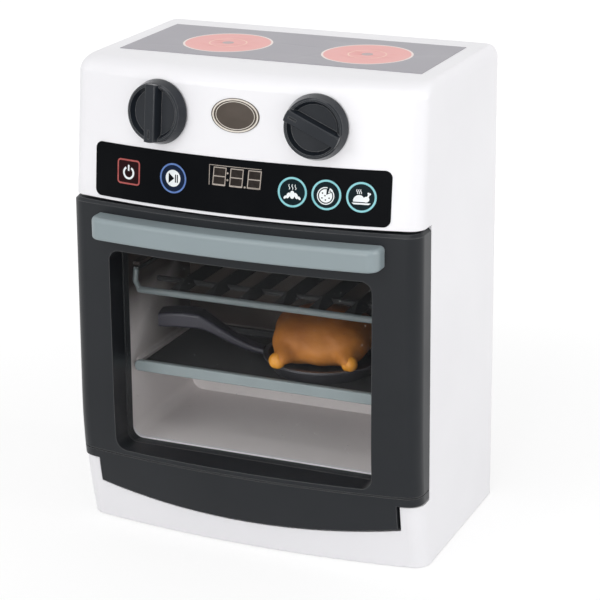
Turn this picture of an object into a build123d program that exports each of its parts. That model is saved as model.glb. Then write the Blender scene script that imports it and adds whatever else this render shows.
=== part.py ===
"""Toy oven: moulded housing, drop-down door, two knobs, slide-out rack and shelf.

Millimetres. +Z is up, the front looks along -Y, X runs from the user's left to right, and the origin is on
the floor under the middle of the whole object.
"""
import os
from math import cos, radians, sin, sqrt

from build123d import *

os.makedirs("parts", exist_ok=True)

# ------------------------------------------------------------------ driving dimensions
HEIGHT = 254.7                  # floor to the top of the hob sheet
TOP_WIDTH = 190.0               # housing width at the top
FLOOR_WIDTH = 194.0             # housing width at the floor: the mould's draft
FRONT_Y = -50.8                 # plane through the front corners of the door
BODY_DEPTH = 121.0              # from that plane to the back of the housing
BACK_Y = FRONT_Y + BODY_DEPTH
WALL = 2.4                      # moulded wall thickness
CORNER_R = 9.0                  # plan radius of the front corners
BACK_CORNER_R = 3.5             # plan radius of the back corners

DOOR_BOW = 8.3                  # how far the door's front bulges over its width
FASCIA_BOW = 11.2               # the same for the control fascia
FASCIA_Z = 184.0                # lower edge of the control fascia
FASCIA_SETBACK = 3.1            # fascia corners behind the door's corners
FASCIA_LEAN = 0.10              # fascia leans back by this per mm of height
ROLL_Z = 247.5                  # where the fascia starts to roll into the top
ROLL_FRONT = 12.0               # how far the roll runs back at the front edge
ROLL_SIDE = 4.0                 # the same at the sides and back
ROLL_STEPS = 6                  # outlines in the rolled top
SHEET = 0.3                     # thickness of the printed sheets
KICK_DEPTH = 11.4               # how far the foot of the front is drawn back
KICK_TOP = 75.0                 # the height where that draw-back starts
BASE_SETBACK = 1.6              # plinth front behind the door's front skin

DOOR_BOTTOM_Z = 38.5            # underside of the full-width part of the door
DOOR_TOP_Z = 182.7
DOOR_THICK = 17.0               # front corner plane to the door's back face
DOOR_GAP = 0.3                  # air between the door's back and the bulkhead
APRON_HALF = 84.8               # half width of the apron under the door
APRON_SIDE_Z = 24.6             # apron's lower edge at its sides
APRON_MID_Z = 17.0              # apron's lower edge in the middle
APRON_GAP = 1.3                 # shadow gap round the apron
GROOVE_Z = 43.5                 # groove across the foot of the door
HINGE_Y = FRONT_Y + 4.0
HINGE_Z = 32.0
HINGE_X = 58.0                  # middle of each hinge ear
PIN_R = 1.5

WINDOW_HALF = 72.5              # window opening in the door's front
WINDOW_LOW = 46.6
WINDOW_HIGH = 157.6
REVEAL_Y = FRONT_Y + 10.0       # plane where the reveal ends and the pane lies
PANE_THICK = 1.2

CAVITY_HALF = 74.0              # oven cavity, inside
CAVITY_LOW = 47.0
CAVITY_HIGH = 160.0
CAVITY_BACK_Y = FRONT_Y + 92.0
LINER_WALL = 1.8

SHELF_Z = 83.7                  # underside of the shelf's plate
RACK_Z = 128.8                  # axis of the rack's front bar
RACK_FRONT_Y = FRONT_Y + 22.0
SLIDE_DEPTH = 66.0              # front-to-back size of the rack and the shelf

KNOB_X = 42.4
KNOB_Z = 232.6
KNOB_R = 16.4
KNOB_DEPTH = 7.0                # from the fascia to the rim of the knob's face
SHAFT_R = 4.0

CLEAR = 0.05                    # running clearance, each side
BULK_Y = FRONT_Y + DOOR_THICK + DOOR_GAP        # front face of the bulkhead behind the door
BULK_BACK_Y = BULK_Y + WALL


# ------------------------------------------------------------------ helpers
def save(name, shape):
    """Write one piece to its own file."""
    solids = shape.solids()
    whole = solids[0] if len(solids) == 1 else Compound(children=list(solids))
    whole.label = name
    export_step(whole, f"parts/{name}.step")
    print(f"{name:24s} solids {len(solids)}  volume {sum(s.volume for s in solids):10.1f}")


def block(x0, x1, y0, y1, z0, z1):
    """An axis-aligned box between two corners."""
    return Pos((x0 + x1) / 2, (y0 + y1) / 2, (z0 + z1) / 2) * Box(x1 - x0, y1 - y0, z1 - z0)


def rod_x(x0, x1, y, z, radius):
    """A cylinder along X."""
    return Pos((x0 + x1) / 2, y, z) * Rot(0, 90, 0) * Cylinder(radius, x1 - x0)


def rod_y(x, y0, y1, z, radius):
    """A cylinder along Y."""
    return Pos(x, (y0 + y1) / 2, z) * Rot(90, 0, 0) * Cylinder(radius, y1 - y0)


def rod_z(x, y, z0, z1, radius):
    """A cylinder along Z."""
    return Pos(x, y, (z0 + z1) / 2) * Cylinder(radius, z1 - z0)


def rounded_xz(x_half, z0, z1, y, radius):
    """A rounded rectangle in the XZ plane at y, facing -Y."""
    plane = Plane(origin=(0, y, (z0 + z1) / 2), x_dir=(1, 0, 0), z_dir=(0, -1, 0))
    return plane * RectangleRounded(2 * x_half, z1 - z0, radius)


def rounded_slab(x_half, z0, z1, y0, y1, radius):
    """A plate with rounded corners, between y0 and y1."""
    return extrude(rounded_xz(x_half, z0, z1, y1, radius), y1 - y0)


def half_width(z):
    return (FLOOR_WIDTH - (FLOOR_WIDTH - TOP_WIDTH) * z / HEIGHT) / 2


def kick(z):
    """How far the front is drawn back near the floor."""
    return KICK_DEPTH * (max(0.0, KICK_TOP - z) / KICK_TOP) ** 2


def bow_y(x, sag):
    """How far the bowed front stands ahead of its corners at x."""
    half = TOP_WIDTH / 2
    radius = (half**2 + sag**2) / (2 * sag)
    return sqrt(radius**2 - x**2) - (radius - sag)


def door_front_y(x, z):
    return FRONT_Y + kick(z) - bow_y(x, DOOR_BOW)


def fascia_y(x, z):
    return FRONT_Y + FASCIA_SETBACK + FASCIA_LEAN * (z - FASCIA_Z) - bow_y(x, FASCIA_BOW)


def outline(z, half, y_corner, sag, y_back, front_r, back_r):
    """Plan outline of the housing at height z: bowed front, straight sides and back."""
    front = ThreePointArc((-half, y_corner), (0, y_corner - sag), (half, y_corner))
    rest = Polyline((half, y_corner), (half, y_back), (-half, y_back), (-half, y_corner))
    face = make_face(front + rest)
    face = fillet(face.vertices().sort_by(Axis.Y)[:2], front_r)
    if back_r > 0:
        face = fillet(face.vertices().sort_by(Axis.Y)[-2:], back_r)
    return Pos(0, 0, z) * face


def lower_block(inset, z_low, z_high, setback, y_back, back_r=0.0):
    """The housing's outer form up to the fascia, drawn back at its foot."""
    def ring(z):
        y_corner = FRONT_Y + kick(z) + setback + inset
        return outline(z, half_width(z) - inset, y_corner, DOOR_BOW, y_back, CORNER_R - inset, back_r)

    middle = [z for z in (15.0, 25.0, 35.0, 45.0, 55.0, 65.0) if z_low + 4 < z < z_high - 4]
    foot = loft([ring(z) for z in [z_low] + middle + [min(z_high, KICK_TOP)]])
    return foot if z_high <= KICK_TOP else foot + loft([ring(KICK_TOP), ring(z_high)])


def upper_block(inset, z_low, y_back, back_r=0.0):
    """The fascia and the rolled top."""
    def ring(z, front_in, side_in):
        y_corner = FRONT_Y + FASCIA_SETBACK + FASCIA_LEAN * (z - FASCIA_Z) + inset + front_in
        half = half_width(z) - inset - side_in
        back = y_back - (side_in if back_r else 0.0)
        return outline(z, half, y_corner, FASCIA_BOW, back, CORNER_R - inset, back_r)

    top = HEIGHT - SHEET - inset
    straight = loft([ring(z_low, 0, 0), ring(ROLL_Z - inset, 0, 0)])
    rings = []
    for step in range(ROLL_STEPS + 1):
        angle = radians(90.0 * step / ROLL_STEPS)
        z = ROLL_Z - inset + (top - ROLL_Z + inset) * sin(angle)
        rings.append(ring(z, ROLL_FRONT * (1 - cos(angle)), ROLL_SIDE * (1 - cos(angle))))
    return straight + loft(rings)


def smile(z_side, z_mid, half, z_top, y0, y1):
    """A panel over the apron's curved lower edge, between y0 and y1."""
    plane = Plane(origin=(0, y1, 0), x_dir=(1, 0, 0), z_dir=(0, -1, 0))
    low = ThreePointArc((-half, z_side), (0, z_mid), (half, z_side))
    rest = Polyline((half, z_side), (half, z_top), (-half, z_top), (-half, z_side))
    return extrude(plane * make_face(low + rest), y1 - y0)


# ------------------------------------------------------------------ knob frames
def fascia_frame(x, z):
    """A frame on the fascia at (x, z): local z points outwards, local y upwards."""
    half = TOP_WIDTH / 2
    radius = (half**2 + FASCIA_BOW**2) / (2 * FASCIA_BOW)
    slope_x = x / sqrt(radius**2 - x**2)
    return Plane(origin=(x, fascia_y(x, z), z), x_dir=(1, slope_x, 0), z_dir=(slope_x, -1, FASCIA_LEAN))


KNOB_FRAMES = {"left": fascia_frame(-KNOB_X, KNOB_Z), "right": fascia_frame(KNOB_X, KNOB_Z)}


# ------------------------------------------------------------------ housing
BOSS_R = 4.2
BOSS_X = 88.2                   # rear cover bosses, one column at each side
BOSS_LEVELS = (16.0, 127.0, 236.0)
BOSS_DEPTH = 20.0
REAR_RECESS = 2.6               # the rear cover sits this deep inside the back edge
BASE_BOSS_X = 88.6
BASE_BOSS_Y = (FRONT_Y + 34.0, BACK_Y - 18.0)
BASE_Z = 2.2                    # underside of the base plate
BASE_THICK = 2.2
PILLAR_X = APRON_HALF + 1.2     # inner face of the corner pillars beside the apron
SHOULDER_Z = DOOR_BOTTOM_Z - 1.0
BULK_LOW = 40.5                 # lower edge of the bulkhead
PILOT_R = 1.1
SCREW_R = 1.5
BOARD_Z = 171.0
BOARD_HALF = (32.0, 22.0)
BOARD_Y = FRONT_Y + 52.0


def make_body_shell():
    outer = lower_block(0, 0.5, FASCIA_Z, BASE_SETBACK, BACK_Y, BACK_CORNER_R)
    outer += upper_block(0, FASCIA_Z, BACK_Y, BACK_CORNER_R)
    wide = FLOOR_WIDTH
    inner = lower_block(WALL, -2.0, FASCIA_Z + 3, BASE_SETBACK, BACK_Y + 5)
    inner -= block(-wide, wide, FRONT_Y - 60, BULK_BACK_Y, FASCIA_Z + 1, FASCIA_Z + 4)
    inner += upper_block(WALL, FASCIA_Z + WALL, BACK_Y + 5)

    pocket = block(-wide, wide, FRONT_Y - 60, BULK_Y, SHOULDER_Z, FASCIA_Z)
    apron_pocket = smile(APRON_SIDE_Z - APRON_GAP, APRON_MID_Z - APRON_GAP, PILLAR_X, BULK_LOW,
                         FRONT_Y - 60, BULK_BACK_Y + 1)
    shell = outer - inner - pocket

    walls = block(-wide, wide, BULK_Y, BULK_BACK_Y, BULK_LOW, FASCIA_Z + WALL)
    walls += block(-wide, wide, FRONT_Y - 20, BULK_BACK_Y, FASCIA_Z, FASCIA_Z + WALL)
    for side in (-1, 1):
        a, b = sorted((side * PILLAR_X, side * wide))
        c, d = sorted((side * PILLAR_X, side * (PILLAR_X + WALL)))
        walls += block(a, b, FRONT_Y - 20, BULK_BACK_Y, SHOULDER_Z - WALL, SHOULDER_Z)
        walls += block(a, b, BULK_Y, BULK_BACK_Y, SHOULDER_Z - WALL, BULK_LOW + 1)
        walls += block(c, d, FRONT_Y - 20, BULK_BACK_Y, 1.0, SHOULDER_Z)
    shell += walls & outer
    shell -= apron_pocket
    shell -= rounded_slab(CAVITY_HALF, CAVITY_LOW, CAVITY_HIGH, BULK_Y - 1, BULK_BACK_Y + 1, 7.0)
    for x, z in LINER_SCREWS:
        shell -= rod_y(x, BULK_BACK_Y - 1.8, BULK_BACK_Y + 1, z, PILOT_R)

    for side in (-1, 1):
        for z in BOSS_LEVELS:
            x = side * BOSS_X
            boss = rod_y(x, BACK_Y - REAR_RECESS - BOSS_DEPTH, BACK_Y - REAR_RECESS, z, BOSS_R)
            a, b = sorted((x, side * (half_width(z) - 1)))
            web = block(a, b, BACK_Y - REAR_RECESS - BOSS_DEPTH, BACK_Y - REAR_RECESS, z - 1, z + 1)
            shell += boss + web
            shell -= rod_y(x, BACK_Y - REAR_RECESS - 12, BACK_Y, z, PILOT_R)
        for y in BASE_BOSS_Y:
            x = side * BASE_BOSS_X
            a, b = sorted((x, side * (half_width(10) - 1)))
            shell += rod_z(x, y, BASE_Z + BASE_THICK, 22.0, BOSS_R)
            shell += block(a, b, y - 1, y + 1, BASE_Z + BASE_THICK, 22.0)
            shell -= rod_z(x, y, 0, 16.0, PILOT_R)

    for frame in KNOB_FRAMES.values():
        shell += frame * Pos(0, 0, -7.0) * Cylinder(SHAFT_R + 3.0, 12.0)
        shell -= frame * Cylinder(SHAFT_R + CLEAR, 60.0)
    for side in (-1, 1):
        shell += hinge_ear(side)
    return shell


def hinge_ear(side):
    """A slanting arm from the bulkhead's lower edge to the hinge axis."""
    half = 2.5
    plane = Plane(origin=(side * HINGE_X - half, 0, 0), x_dir=(0, 1, 0), z_dir=(1, 0, 0))
    arm = Polyline((BULK_Y, BULK_LOW + 2), (BULK_BACK_Y, BULK_LOW + 2), (BULK_BACK_Y, 34.0),
                   (BULK_Y, 33.4), (HINGE_Y + 1.0, HINGE_Z - 2.83), (HINGE_Y - 0.6, HINGE_Z + 2.93),
                   (BULK_Y, 38.0), (BULK_Y, BULK_LOW + 2))
    ear = extrude(plane * make_face(arm), 2 * half)
    ear += rod_x(side * HINGE_X - half, side * HINGE_X + half, HINGE_Y, HINGE_Z, 3.0)
    return ear - rod_x(side * HINGE_X - 5, side * HINGE_X + 5, HINGE_Y, HINGE_Z, PIN_R)


def make_hinge_pins():
    pins = rod_x(-HINGE_X - 7.4, -HINGE_X + 7.4, HINGE_Y, HINGE_Z, PIN_R)
    return pins + rod_x(HINGE_X - 7.4, HINGE_X + 7.4, HINGE_Y, HINGE_Z, PIN_R)


# ------------------------------------------------------------------ covers, base and feet
COVER_BACK = BACK_Y - 0.2
COVER_FRONT = BACK_Y - REAR_RECESS
CELL_R = 7.1
CELL_LENGTH = 49.0
CELL_PITCH = 15.4
CELL_Z = 86.0                   # middle cell
BOX_HALF_X = 28.2               # battery box, inside
BOX_HALF_Z = 24.4
BOX_DEPTH = 16.0
BOX_WALL = 1.8
HATCH_LAP = 1.9                 # battery door's overlap on the rear cover
HATCH_THICK = 1.4
HATCH_TOP = CELL_Z + BOX_HALF_Z + 8.0
HATCH_SCREW_Z = CELL_Z + BOX_HALF_Z + 4.4
SPEAKER_X = 44.0
SPEAKER_Z = 205.0
SPEAKER_R = 20.0


def slots(x_mid, z_mid, count, pitch, length, width, y0, y1):
    """A row of upright round-ended slots."""
    cuts = Part()
    for i in range(count):
        x = x_mid + (i - (count - 1) / 2) * pitch
        face = Plane(origin=(x, y1, z_mid), x_dir=(0, 0, 1), z_dir=(0, -1, 0)) * SlotOverall(length, width)
        cuts += extrude(face, y1 - y0)
    return cuts


def make_rear_cover():
    form = lower_block(WALL + 0.2, 0.8, FASCIA_Z, BASE_SETBACK, BACK_Y + 5)
    form += upper_block(WALL + 0.2, FASCIA_Z, BACK_Y + 5)
    cover = form & block(-FLOOR_WIDTH, FLOOR_WIDTH, COVER_FRONT, COVER_BACK, 0, HEIGHT)
    for side in (-1, 1):
        for z in BOSS_LEVELS:
            cover -= rod_y(side * BOSS_X, COVER_FRONT - 1, BACK_Y, z, SCREW_R + 0.2)
            cover -= rod_y(side * BOSS_X, COVER_BACK - 1.2, BACK_Y, z, 2.9)
    low = CELL_Z - BOX_HALF_Z
    lap = HATCH_LAP + 0.2
    cover -= block(-BOX_HALF_X, BOX_HALF_X, COVER_FRONT - 1, BACK_Y, low, CELL_Z + BOX_HALF_Z)
    cover -= block(-BOX_HALF_X - lap, BOX_HALF_X + lap, COVER_BACK - HATCH_THICK, BACK_Y,
                   low - lap, HATCH_TOP + 0.2)
    cover -= rod_y(0, COVER_FRONT - 1, BACK_Y, HATCH_SCREW_Z, PILOT_R)
    cover += rod_y(SPEAKER_X, COVER_FRONT - 5, COVER_FRONT + 0.5, SPEAKER_Z, SPEAKER_R + 1.8)
    cover -= rod_y(SPEAKER_X, COVER_FRONT - 6, COVER_FRONT, SPEAKER_Z, SPEAKER_R + 0.1)
    cover -= slots(SPEAKER_X, SPEAKER_Z, 7, 4.6, 24.0, 2.0, COVER_FRONT - 1, BACK_Y)
    cover -= slots(-SPEAKER_X, SPEAKER_Z, 7, 4.6, 24.0, 2.0, COVER_FRONT - 1, BACK_Y)
    return cover


def make_base_plate():
    plate = lower_block(WALL + 0.3, BASE_Z, BASE_Z + BASE_THICK, BASE_SETBACK, COVER_FRONT - 0.3)
    for side in (-1, 1):
        a, b = sorted((side * (PILLAR_X - 0.3), side * (PILLAR_X + WALL + 0.3)))
        plate -= block(a, b, FRONT_Y - 10, BULK_BACK_Y + 0.3, 0, 10)
        for y in BASE_BOSS_Y:
            plate -= rod_z(side * BASE_BOSS_X, y, 0, 10, SCREW_R + 0.2)
    for x in (-40, 0, 40):
        plate -= slots_flat(x)
    return plate


def slots_flat(x):
    """Three air slots through the base plate."""
    cuts = Part()
    for y in (FRONT_Y + 60, FRONT_Y + 68, FRONT_Y + 76):
        cuts += block(x - 10, x + 10, y - 1.2, y + 1.2, 0, 10)
    return cuts


def make_feet():
    feet = Part()
    for x in (-72, 72):
        for y in (FRONT_Y + 30, BACK_Y - 22):
            feet += rod_z(x, y, 0, BASE_Z, 6.5)
    return feet


def screw(length, head_r=2.7, head_h=1.8):
    """A pan-head screw standing on its head's underside at the origin, shank along -Z."""
    body = Pos(0, 0, head_h / 2) * Cylinder(head_r, head_h)
    body = chamfer(body.edges().group_by(Axis.Z)[-1], 0.3 * head_h)
    body -= Pos(0, 0, head_h) * Box(3.2, 0.7, head_h)
    body -= Pos(0, 0, head_h) * Box(0.7, 3.2, head_h)
    return body + Pos(0, 0, -length / 2) * Cylinder(PILOT_R, length)


TO_BACK = Rot(-90, 0, 0)        # turns +Z to +Y: a screw driven in from the back
UPWARDS = Rot(180, 0, 0)        # a screw driven in from below


def make_rear_screws():
    group = Part()
    for side in (-1, 1):
        for z in BOSS_LEVELS:
            group += Pos(side * BOSS_X, COVER_BACK - 1.2, z) * TO_BACK * screw(11, head_h=1.2)
    return group


def make_base_screws():
    group = Part()
    for side in (-1, 1):
        for y in BASE_BOSS_Y:
            group += Pos(side * BASE_BOSS_X, y, BASE_Z) * UPWARDS * screw(12, head_h=1.4)
    return group


# ------------------------------------------------------------------ printed sheets
PANEL_HALF = 80.6
PANEL_LOW = 185.6
PANEL_HIGH = 213.3
BADGE_Z = 234.8
HOB_HALF = 82.9
HOB_Y = (FRONT_Y + 35.4, FRONT_Y + 102.6)


def fascia_skin():
    """A thin skin lying on the fascia."""
    return upper_block(-SHEET, FASCIA_Z, BACK_Y) - upper_block(0, FASCIA_Z - 1, BACK_Y + 5)


def make_control_panel(skin):
    return skin & rounded_slab(PANEL_HALF, PANEL_LOW, PANEL_HIGH, FRONT_Y - 20, FRONT_Y + 22, 3.6)


def make_badge(skin):
    plane = Plane(origin=(0, FRONT_Y + 20, BADGE_Z), x_dir=(1, 0, 0), z_dir=(0, -1, 0))
    return skin & extrude(plane * Ellipse(13.0, 8.5), 40)


def make_hob_sheet():
    return block(-HOB_HALF, HOB_HALF, HOB_Y[0], HOB_Y[1], HEIGHT - SHEET, HEIGHT)


# ------------------------------------------------------------------ oven cavity
RIB_IN = 70.6                   # inner edge of the ribs that carry the rack and the shelf
RIB_FRONT_Y = FRONT_Y + 26.0
RIB_LEVELS = ((81.3, 83.4), (86.3, 88.1), (135.6, 137.9), (140.6, 142.4))
FLANGE_HALF = 84.0
FLANGE_LOW = 42.8
FLANGE_HIGH = 168.0
LINER_SCREWS = ((-80, 56), (80, 56), (-80, 152), (80, 152))
LAMP_Y = BOARD_Y
LAMP_HOLE_R = 6.0


def cavity_form(grow, y0, y1):
    """The cavity's tapering form, grown outwards."""
    def ring(y, size):
        return rounded_xz(CAVITY_HALF + size, CAVITY_LOW - size, CAVITY_HIGH + size, y, 7.0 + grow)

    return loft([ring(y0, grow), ring(y1, grow - 0.6)])


def make_cavity_liner():
    outer = cavity_form(LINER_WALL, BULK_BACK_Y, CAVITY_BACK_Y + LINER_WALL)
    outer += rounded_slab(FLANGE_HALF, FLANGE_LOW, FLANGE_HIGH, BULK_BACK_Y, BULK_BACK_Y + LINER_WALL, 4.0)
    liner = outer - cavity_form(0, BULK_BACK_Y - 0.01, CAVITY_BACK_Y)
    ribs = Part()
    for side in (-1, 1):
        a, b = sorted((side * RIB_IN, side * (CAVITY_HALF + 1)))
        for low, high in RIB_LEVELS:
            ribs += block(a, b, RIB_FRONT_Y, CAVITY_BACK_Y + 0.5, low, high)
    liner += ribs & cavity_form(0.5, BULK_BACK_Y, CAVITY_BACK_Y + 0.5)
    for x, z in LINER_SCREWS:
        liner -= rod_y(x, BULK_Y, BULK_BACK_Y + 5, z, PILOT_R)
    liner -= rod_z(0, LAMP_Y, CAVITY_HIGH - 3, CAVITY_HIGH + 5, LAMP_HOLE_R)
    for x in (-BOARD_HALF[0] + 4, BOARD_HALF[0] - 4):
        for y in (BOARD_Y - BOARD_HALF[1] + 4, BOARD_Y + BOARD_HALF[1] - 4):
            liner += rod_z(x, y, CAVITY_HIGH, BOARD_Z, 3.0) - rod_z(x, y, CAVITY_HIGH + 3, BOARD_Z, PILOT_R)
    return liner


def make_liner_screws():
    group = Part()
    for x, z in LINER_SCREWS:
        group += Pos(x, BULK_BACK_Y + LINER_WALL, z) * TO_BACK * screw(3.4, head_r=3.0)
    return group


def make_lamp_lens():
    """A cup with a flange that lies on the cavity's ceiling."""
    cup = rod_z(0, LAMP_Y, CAVITY_HIGH - 2.2, CAVITY_HIGH + 2.8, LAMP_HOLE_R)
    cup = fillet(cup.edges().group_by(Axis.Z)[0], 1.6)
    cup += rod_z(0, LAMP_Y, CAVITY_HIGH + 1.0, CAVITY_HIGH + 2.8, LAMP_HOLE_R + 2)
    cup -= rod_z(0, LAMP_Y, CAVITY_HIGH - 1.0, CAVITY_HIGH + 5, LAMP_HOLE_R - 1.4)
    return cup - cavity_form(LINER_WALL, BULK_BACK_Y, CAVITY_BACK_Y + LINER_WALL).cut(
        rod_z(0, LAMP_Y, CAVITY_HIGH - 5, CAVITY_HIGH + 5, LAMP_HOLE_R))


# ------------------------------------------------------------------ electronics
BOARD_THICK = 1.6


def make_circuit_board():
    board = block(-BOARD_HALF[0], BOARD_HALF[0], BOARD_Y - BOARD_HALF[1], BOARD_Y + BOARD_HALF[1],
                  BOARD_Z, BOARD_Z + BOARD_THICK)
    for x in (-BOARD_HALF[0] + 4, BOARD_HALF[0] - 4):
        for y in (BOARD_Y - BOARD_HALF[1] + 4, BOARD_Y + BOARD_HALF[1] - 4):
            board -= rod_z(x, y, BOARD_Z - 1, BOARD_Z + 3, PILOT_R + 0.1)
    return board


def make_board_screws():
    group = Part()
    for x in (-BOARD_HALF[0] + 4, BOARD_HALF[0] - 4):
        for y in (BOARD_Y - BOARD_HALF[1] + 4, BOARD_Y + BOARD_HALF[1] - 4):
            group += Pos(x, y, BOARD_Z + BOARD_THICK) * screw(6, head_h=1.5)
    return group


def make_board_parts():
    top = BOARD_Z + BOARD_THICK
    parts = Pos(-4, BOARD_Y - 4, top) * (Sphere(5) & Pos(0, 0, 5) * Box(12, 12, 10))
    parts += rod_z(14, BOARD_Y + 6, top, top + 8, 3.2)
    parts += rod_z(14, BOARD_Y - 6, top, top + 6, 2.5)
    for i in range(4):
        parts += block(-20, -14, BOARD_Y - 9 + 5 * i, BOARD_Y - 7 + 5 * i, top, top + 1.6)
    return parts


def make_lamp():
    low = CAVITY_HIGH + 0.3
    return rod_z(0, LAMP_Y, low + 2.5, BOARD_Z, 2.5) + Pos(0, LAMP_Y, low + 2.5) * Sphere(2.5)


def make_speaker():
    back = COVER_FRONT
    cone = rod_y(SPEAKER_X, back - 4, back, SPEAKER_Z, SPEAKER_R)
    cone -= rod_y(SPEAKER_X, back - 1.2, back + 1, SPEAKER_Z, SPEAKER_R - 2)
    return cone + rod_y(SPEAKER_X, back - 9, back - 3, SPEAKER_Z, 10)


def make_battery_box():
    y1 = COVER_FRONT
    y0 = y1 - BOX_DEPTH - BOX_WALL
    low, high = CELL_Z - BOX_HALF_Z, CELL_Z + BOX_HALF_Z
    tray = block(-BOX_HALF_X - BOX_WALL, BOX_HALF_X + BOX_WALL, y0, y1, low - BOX_WALL, high + BOX_WALL)
    return tray - block(-BOX_HALF_X, BOX_HALF_X, y0 + BOX_WALL, y1 + 1, low, high)


def cell_places():
    """Middle of each cell, and the way its raised end points."""
    y = COVER_FRONT - BOX_DEPTH + CELL_R + 0.4
    return [(y, CELL_Z + (i - 1) * CELL_PITCH, 1 if i % 2 == 0 else -1) for i in range(3)]


def make_cells():
    group = Part()
    half = CELL_LENGTH / 2
    for y, z, way in cell_places():
        a, b = sorted((way * half, way * (half + 1.4)))
        group += rod_x(-half, half, y, z, CELL_R) + rod_x(a, b, y, z, 2.7)
    return group


def make_contacts():
    """Spring cones at the flat ends and plates at both ends of the cells."""
    group = Part()
    half = CELL_LENGTH / 2
    for y, z, way in cell_places():
        a, b = sorted((way * (half + 1.4), way * BOX_HALF_X))
        group += block(a, b, y - 5, y + 5, z - 5, z + 5)
        coil = (BOX_HALF_X - half) / 4
        for k in range(4):
            ring = Cylinder(3 + 0.5 * k, coil) - Cylinder(2 + 0.5 * k, 1)
            group += Pos(-way * (half + coil * (k + 0.5)), y, z) * Rot(0, 90, 0) * ring
    return group


def make_battery_door():
    door = block(-BOX_HALF_X - HATCH_LAP, BOX_HALF_X + HATCH_LAP, COVER_BACK - HATCH_THICK, COVER_BACK,
                 CELL_Z - BOX_HALF_Z - HATCH_LAP, HATCH_TOP)
    door = fillet(door.edges().filter_by(Axis.Y), 1.5)
    door -= rod_y(0, COVER_FRONT, BACK_Y, HATCH_SCREW_Z, SCREW_R)
    door -= rod_y(0, COVER_BACK - 0.7, BACK_Y, HATCH_SCREW_Z, 2.6)
    for i in range(5):
        z = CELL_Z - 16 + 2.4 * i
        door -= block(-9, 9, COVER_BACK - 0.5, BACK_Y, z, z + 1.0)
    return door


def make_battery_screw():
    return Pos(0, COVER_BACK - 0.7, HATCH_SCREW_Z) * TO_BACK * screw(1.6, head_r=2.4, head_h=0.7)


def make_leads():
    """Two leads from the cells and two from the speaker to the circuit board."""
    group = Part()
    radius = 0.6
    top = BOARD_Z + BOARD_THICK
    box_top = CELL_Z + BOX_HALF_Z + BOX_WALL
    back = COVER_FRONT - 10
    for x, y in ((-24.0, BOARD_Y + 11), (-21.0, BOARD_Y + 8)):
        route = [(x, back, box_top), (x, back, top + 6), (x, BOARD_Y + 18, top + 14),
                 (x, y, top + 9), (x, y, top)]
        group += tube(route, radius)
    start = COVER_FRONT - 4.0
    for x, z in ((24.0, SPEAKER_Z - 6), (21.0, SPEAKER_Z + 6)):
        route = [(SPEAKER_X - 14, start, z), (SPEAKER_X - 14, start - 12, z), (x, BOARD_Y + 16, z - 8),
                 (x, BOARD_Y + 6, top + 12), (x, BOARD_Y + 6, top)]
        group += tube(route, radius)
    return group


def tube(route, radius):
    """A round lead along straight runs joined by wide arcs."""
    radii = []
    for a, b, c in zip(route, route[1:], route[2:]):
        one, two = Vector(b) - Vector(a), Vector(c) - Vector(b)
        turn = radians(one.get_angle(two))
        radii.append(0.42 * min(one.length, two.length) / tan_half(turn))
    line = FilletPolyline(*route, radius=radii)
    start = Plane(origin=line @ 0, z_dir=line % 0)
    return sweep(start * Circle(radius), path=line)


def tan_half(turn):
    return max(0.05, sin(turn / 2) / cos(turn / 2))


# ------------------------------------------------------------------ door
FRAME_SCREWS = ((-82, 58), (82, 58), (-82, 112), (82, 112),
                (-82, 162), (82, 162), (-40, 168.8), (40, 168.8))
HANDLE_HALF = 78.7
HANDLE_LOW = 165.4
HANDLE_HIGH = 177.0
HANDLE_OUT = 11.1               # from the door's front to the handle's front
HANDLE_POST = 9.0               # width of the solid end that carries the handle
HANDLE_WALL = 2.6
HANDLE_SCREW = (HANDLE_HALF - 5.0, 171.2)
CATCH_Z = 172.3
COLLAR_HALF = WINDOW_HALF + 2.0         # collar that holds the pane against the reveal
COLLAR_WALL = 2.0
DOOR_GROOVE = 0.7               # depth and height of the groove across the door's foot


def reveal(grow):
    """The deep window opening, with a little draft, from in front of the door to the pane."""
    front = rounded_xz(WINDOW_HALF + 0.2 + grow, WINDOW_LOW - 0.2 - grow, WINDOW_HIGH + 0.2 + grow,
                       FRONT_Y - 12, 6.0 + grow)
    back = rounded_xz(WINDOW_HALF - 0.2 + grow, WINDOW_LOW + 0.2 - grow, WINDOW_HIGH - 0.2 + grow,
                      REVEAL_Y, 6.0 + grow)
    return loft([front, back])


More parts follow.
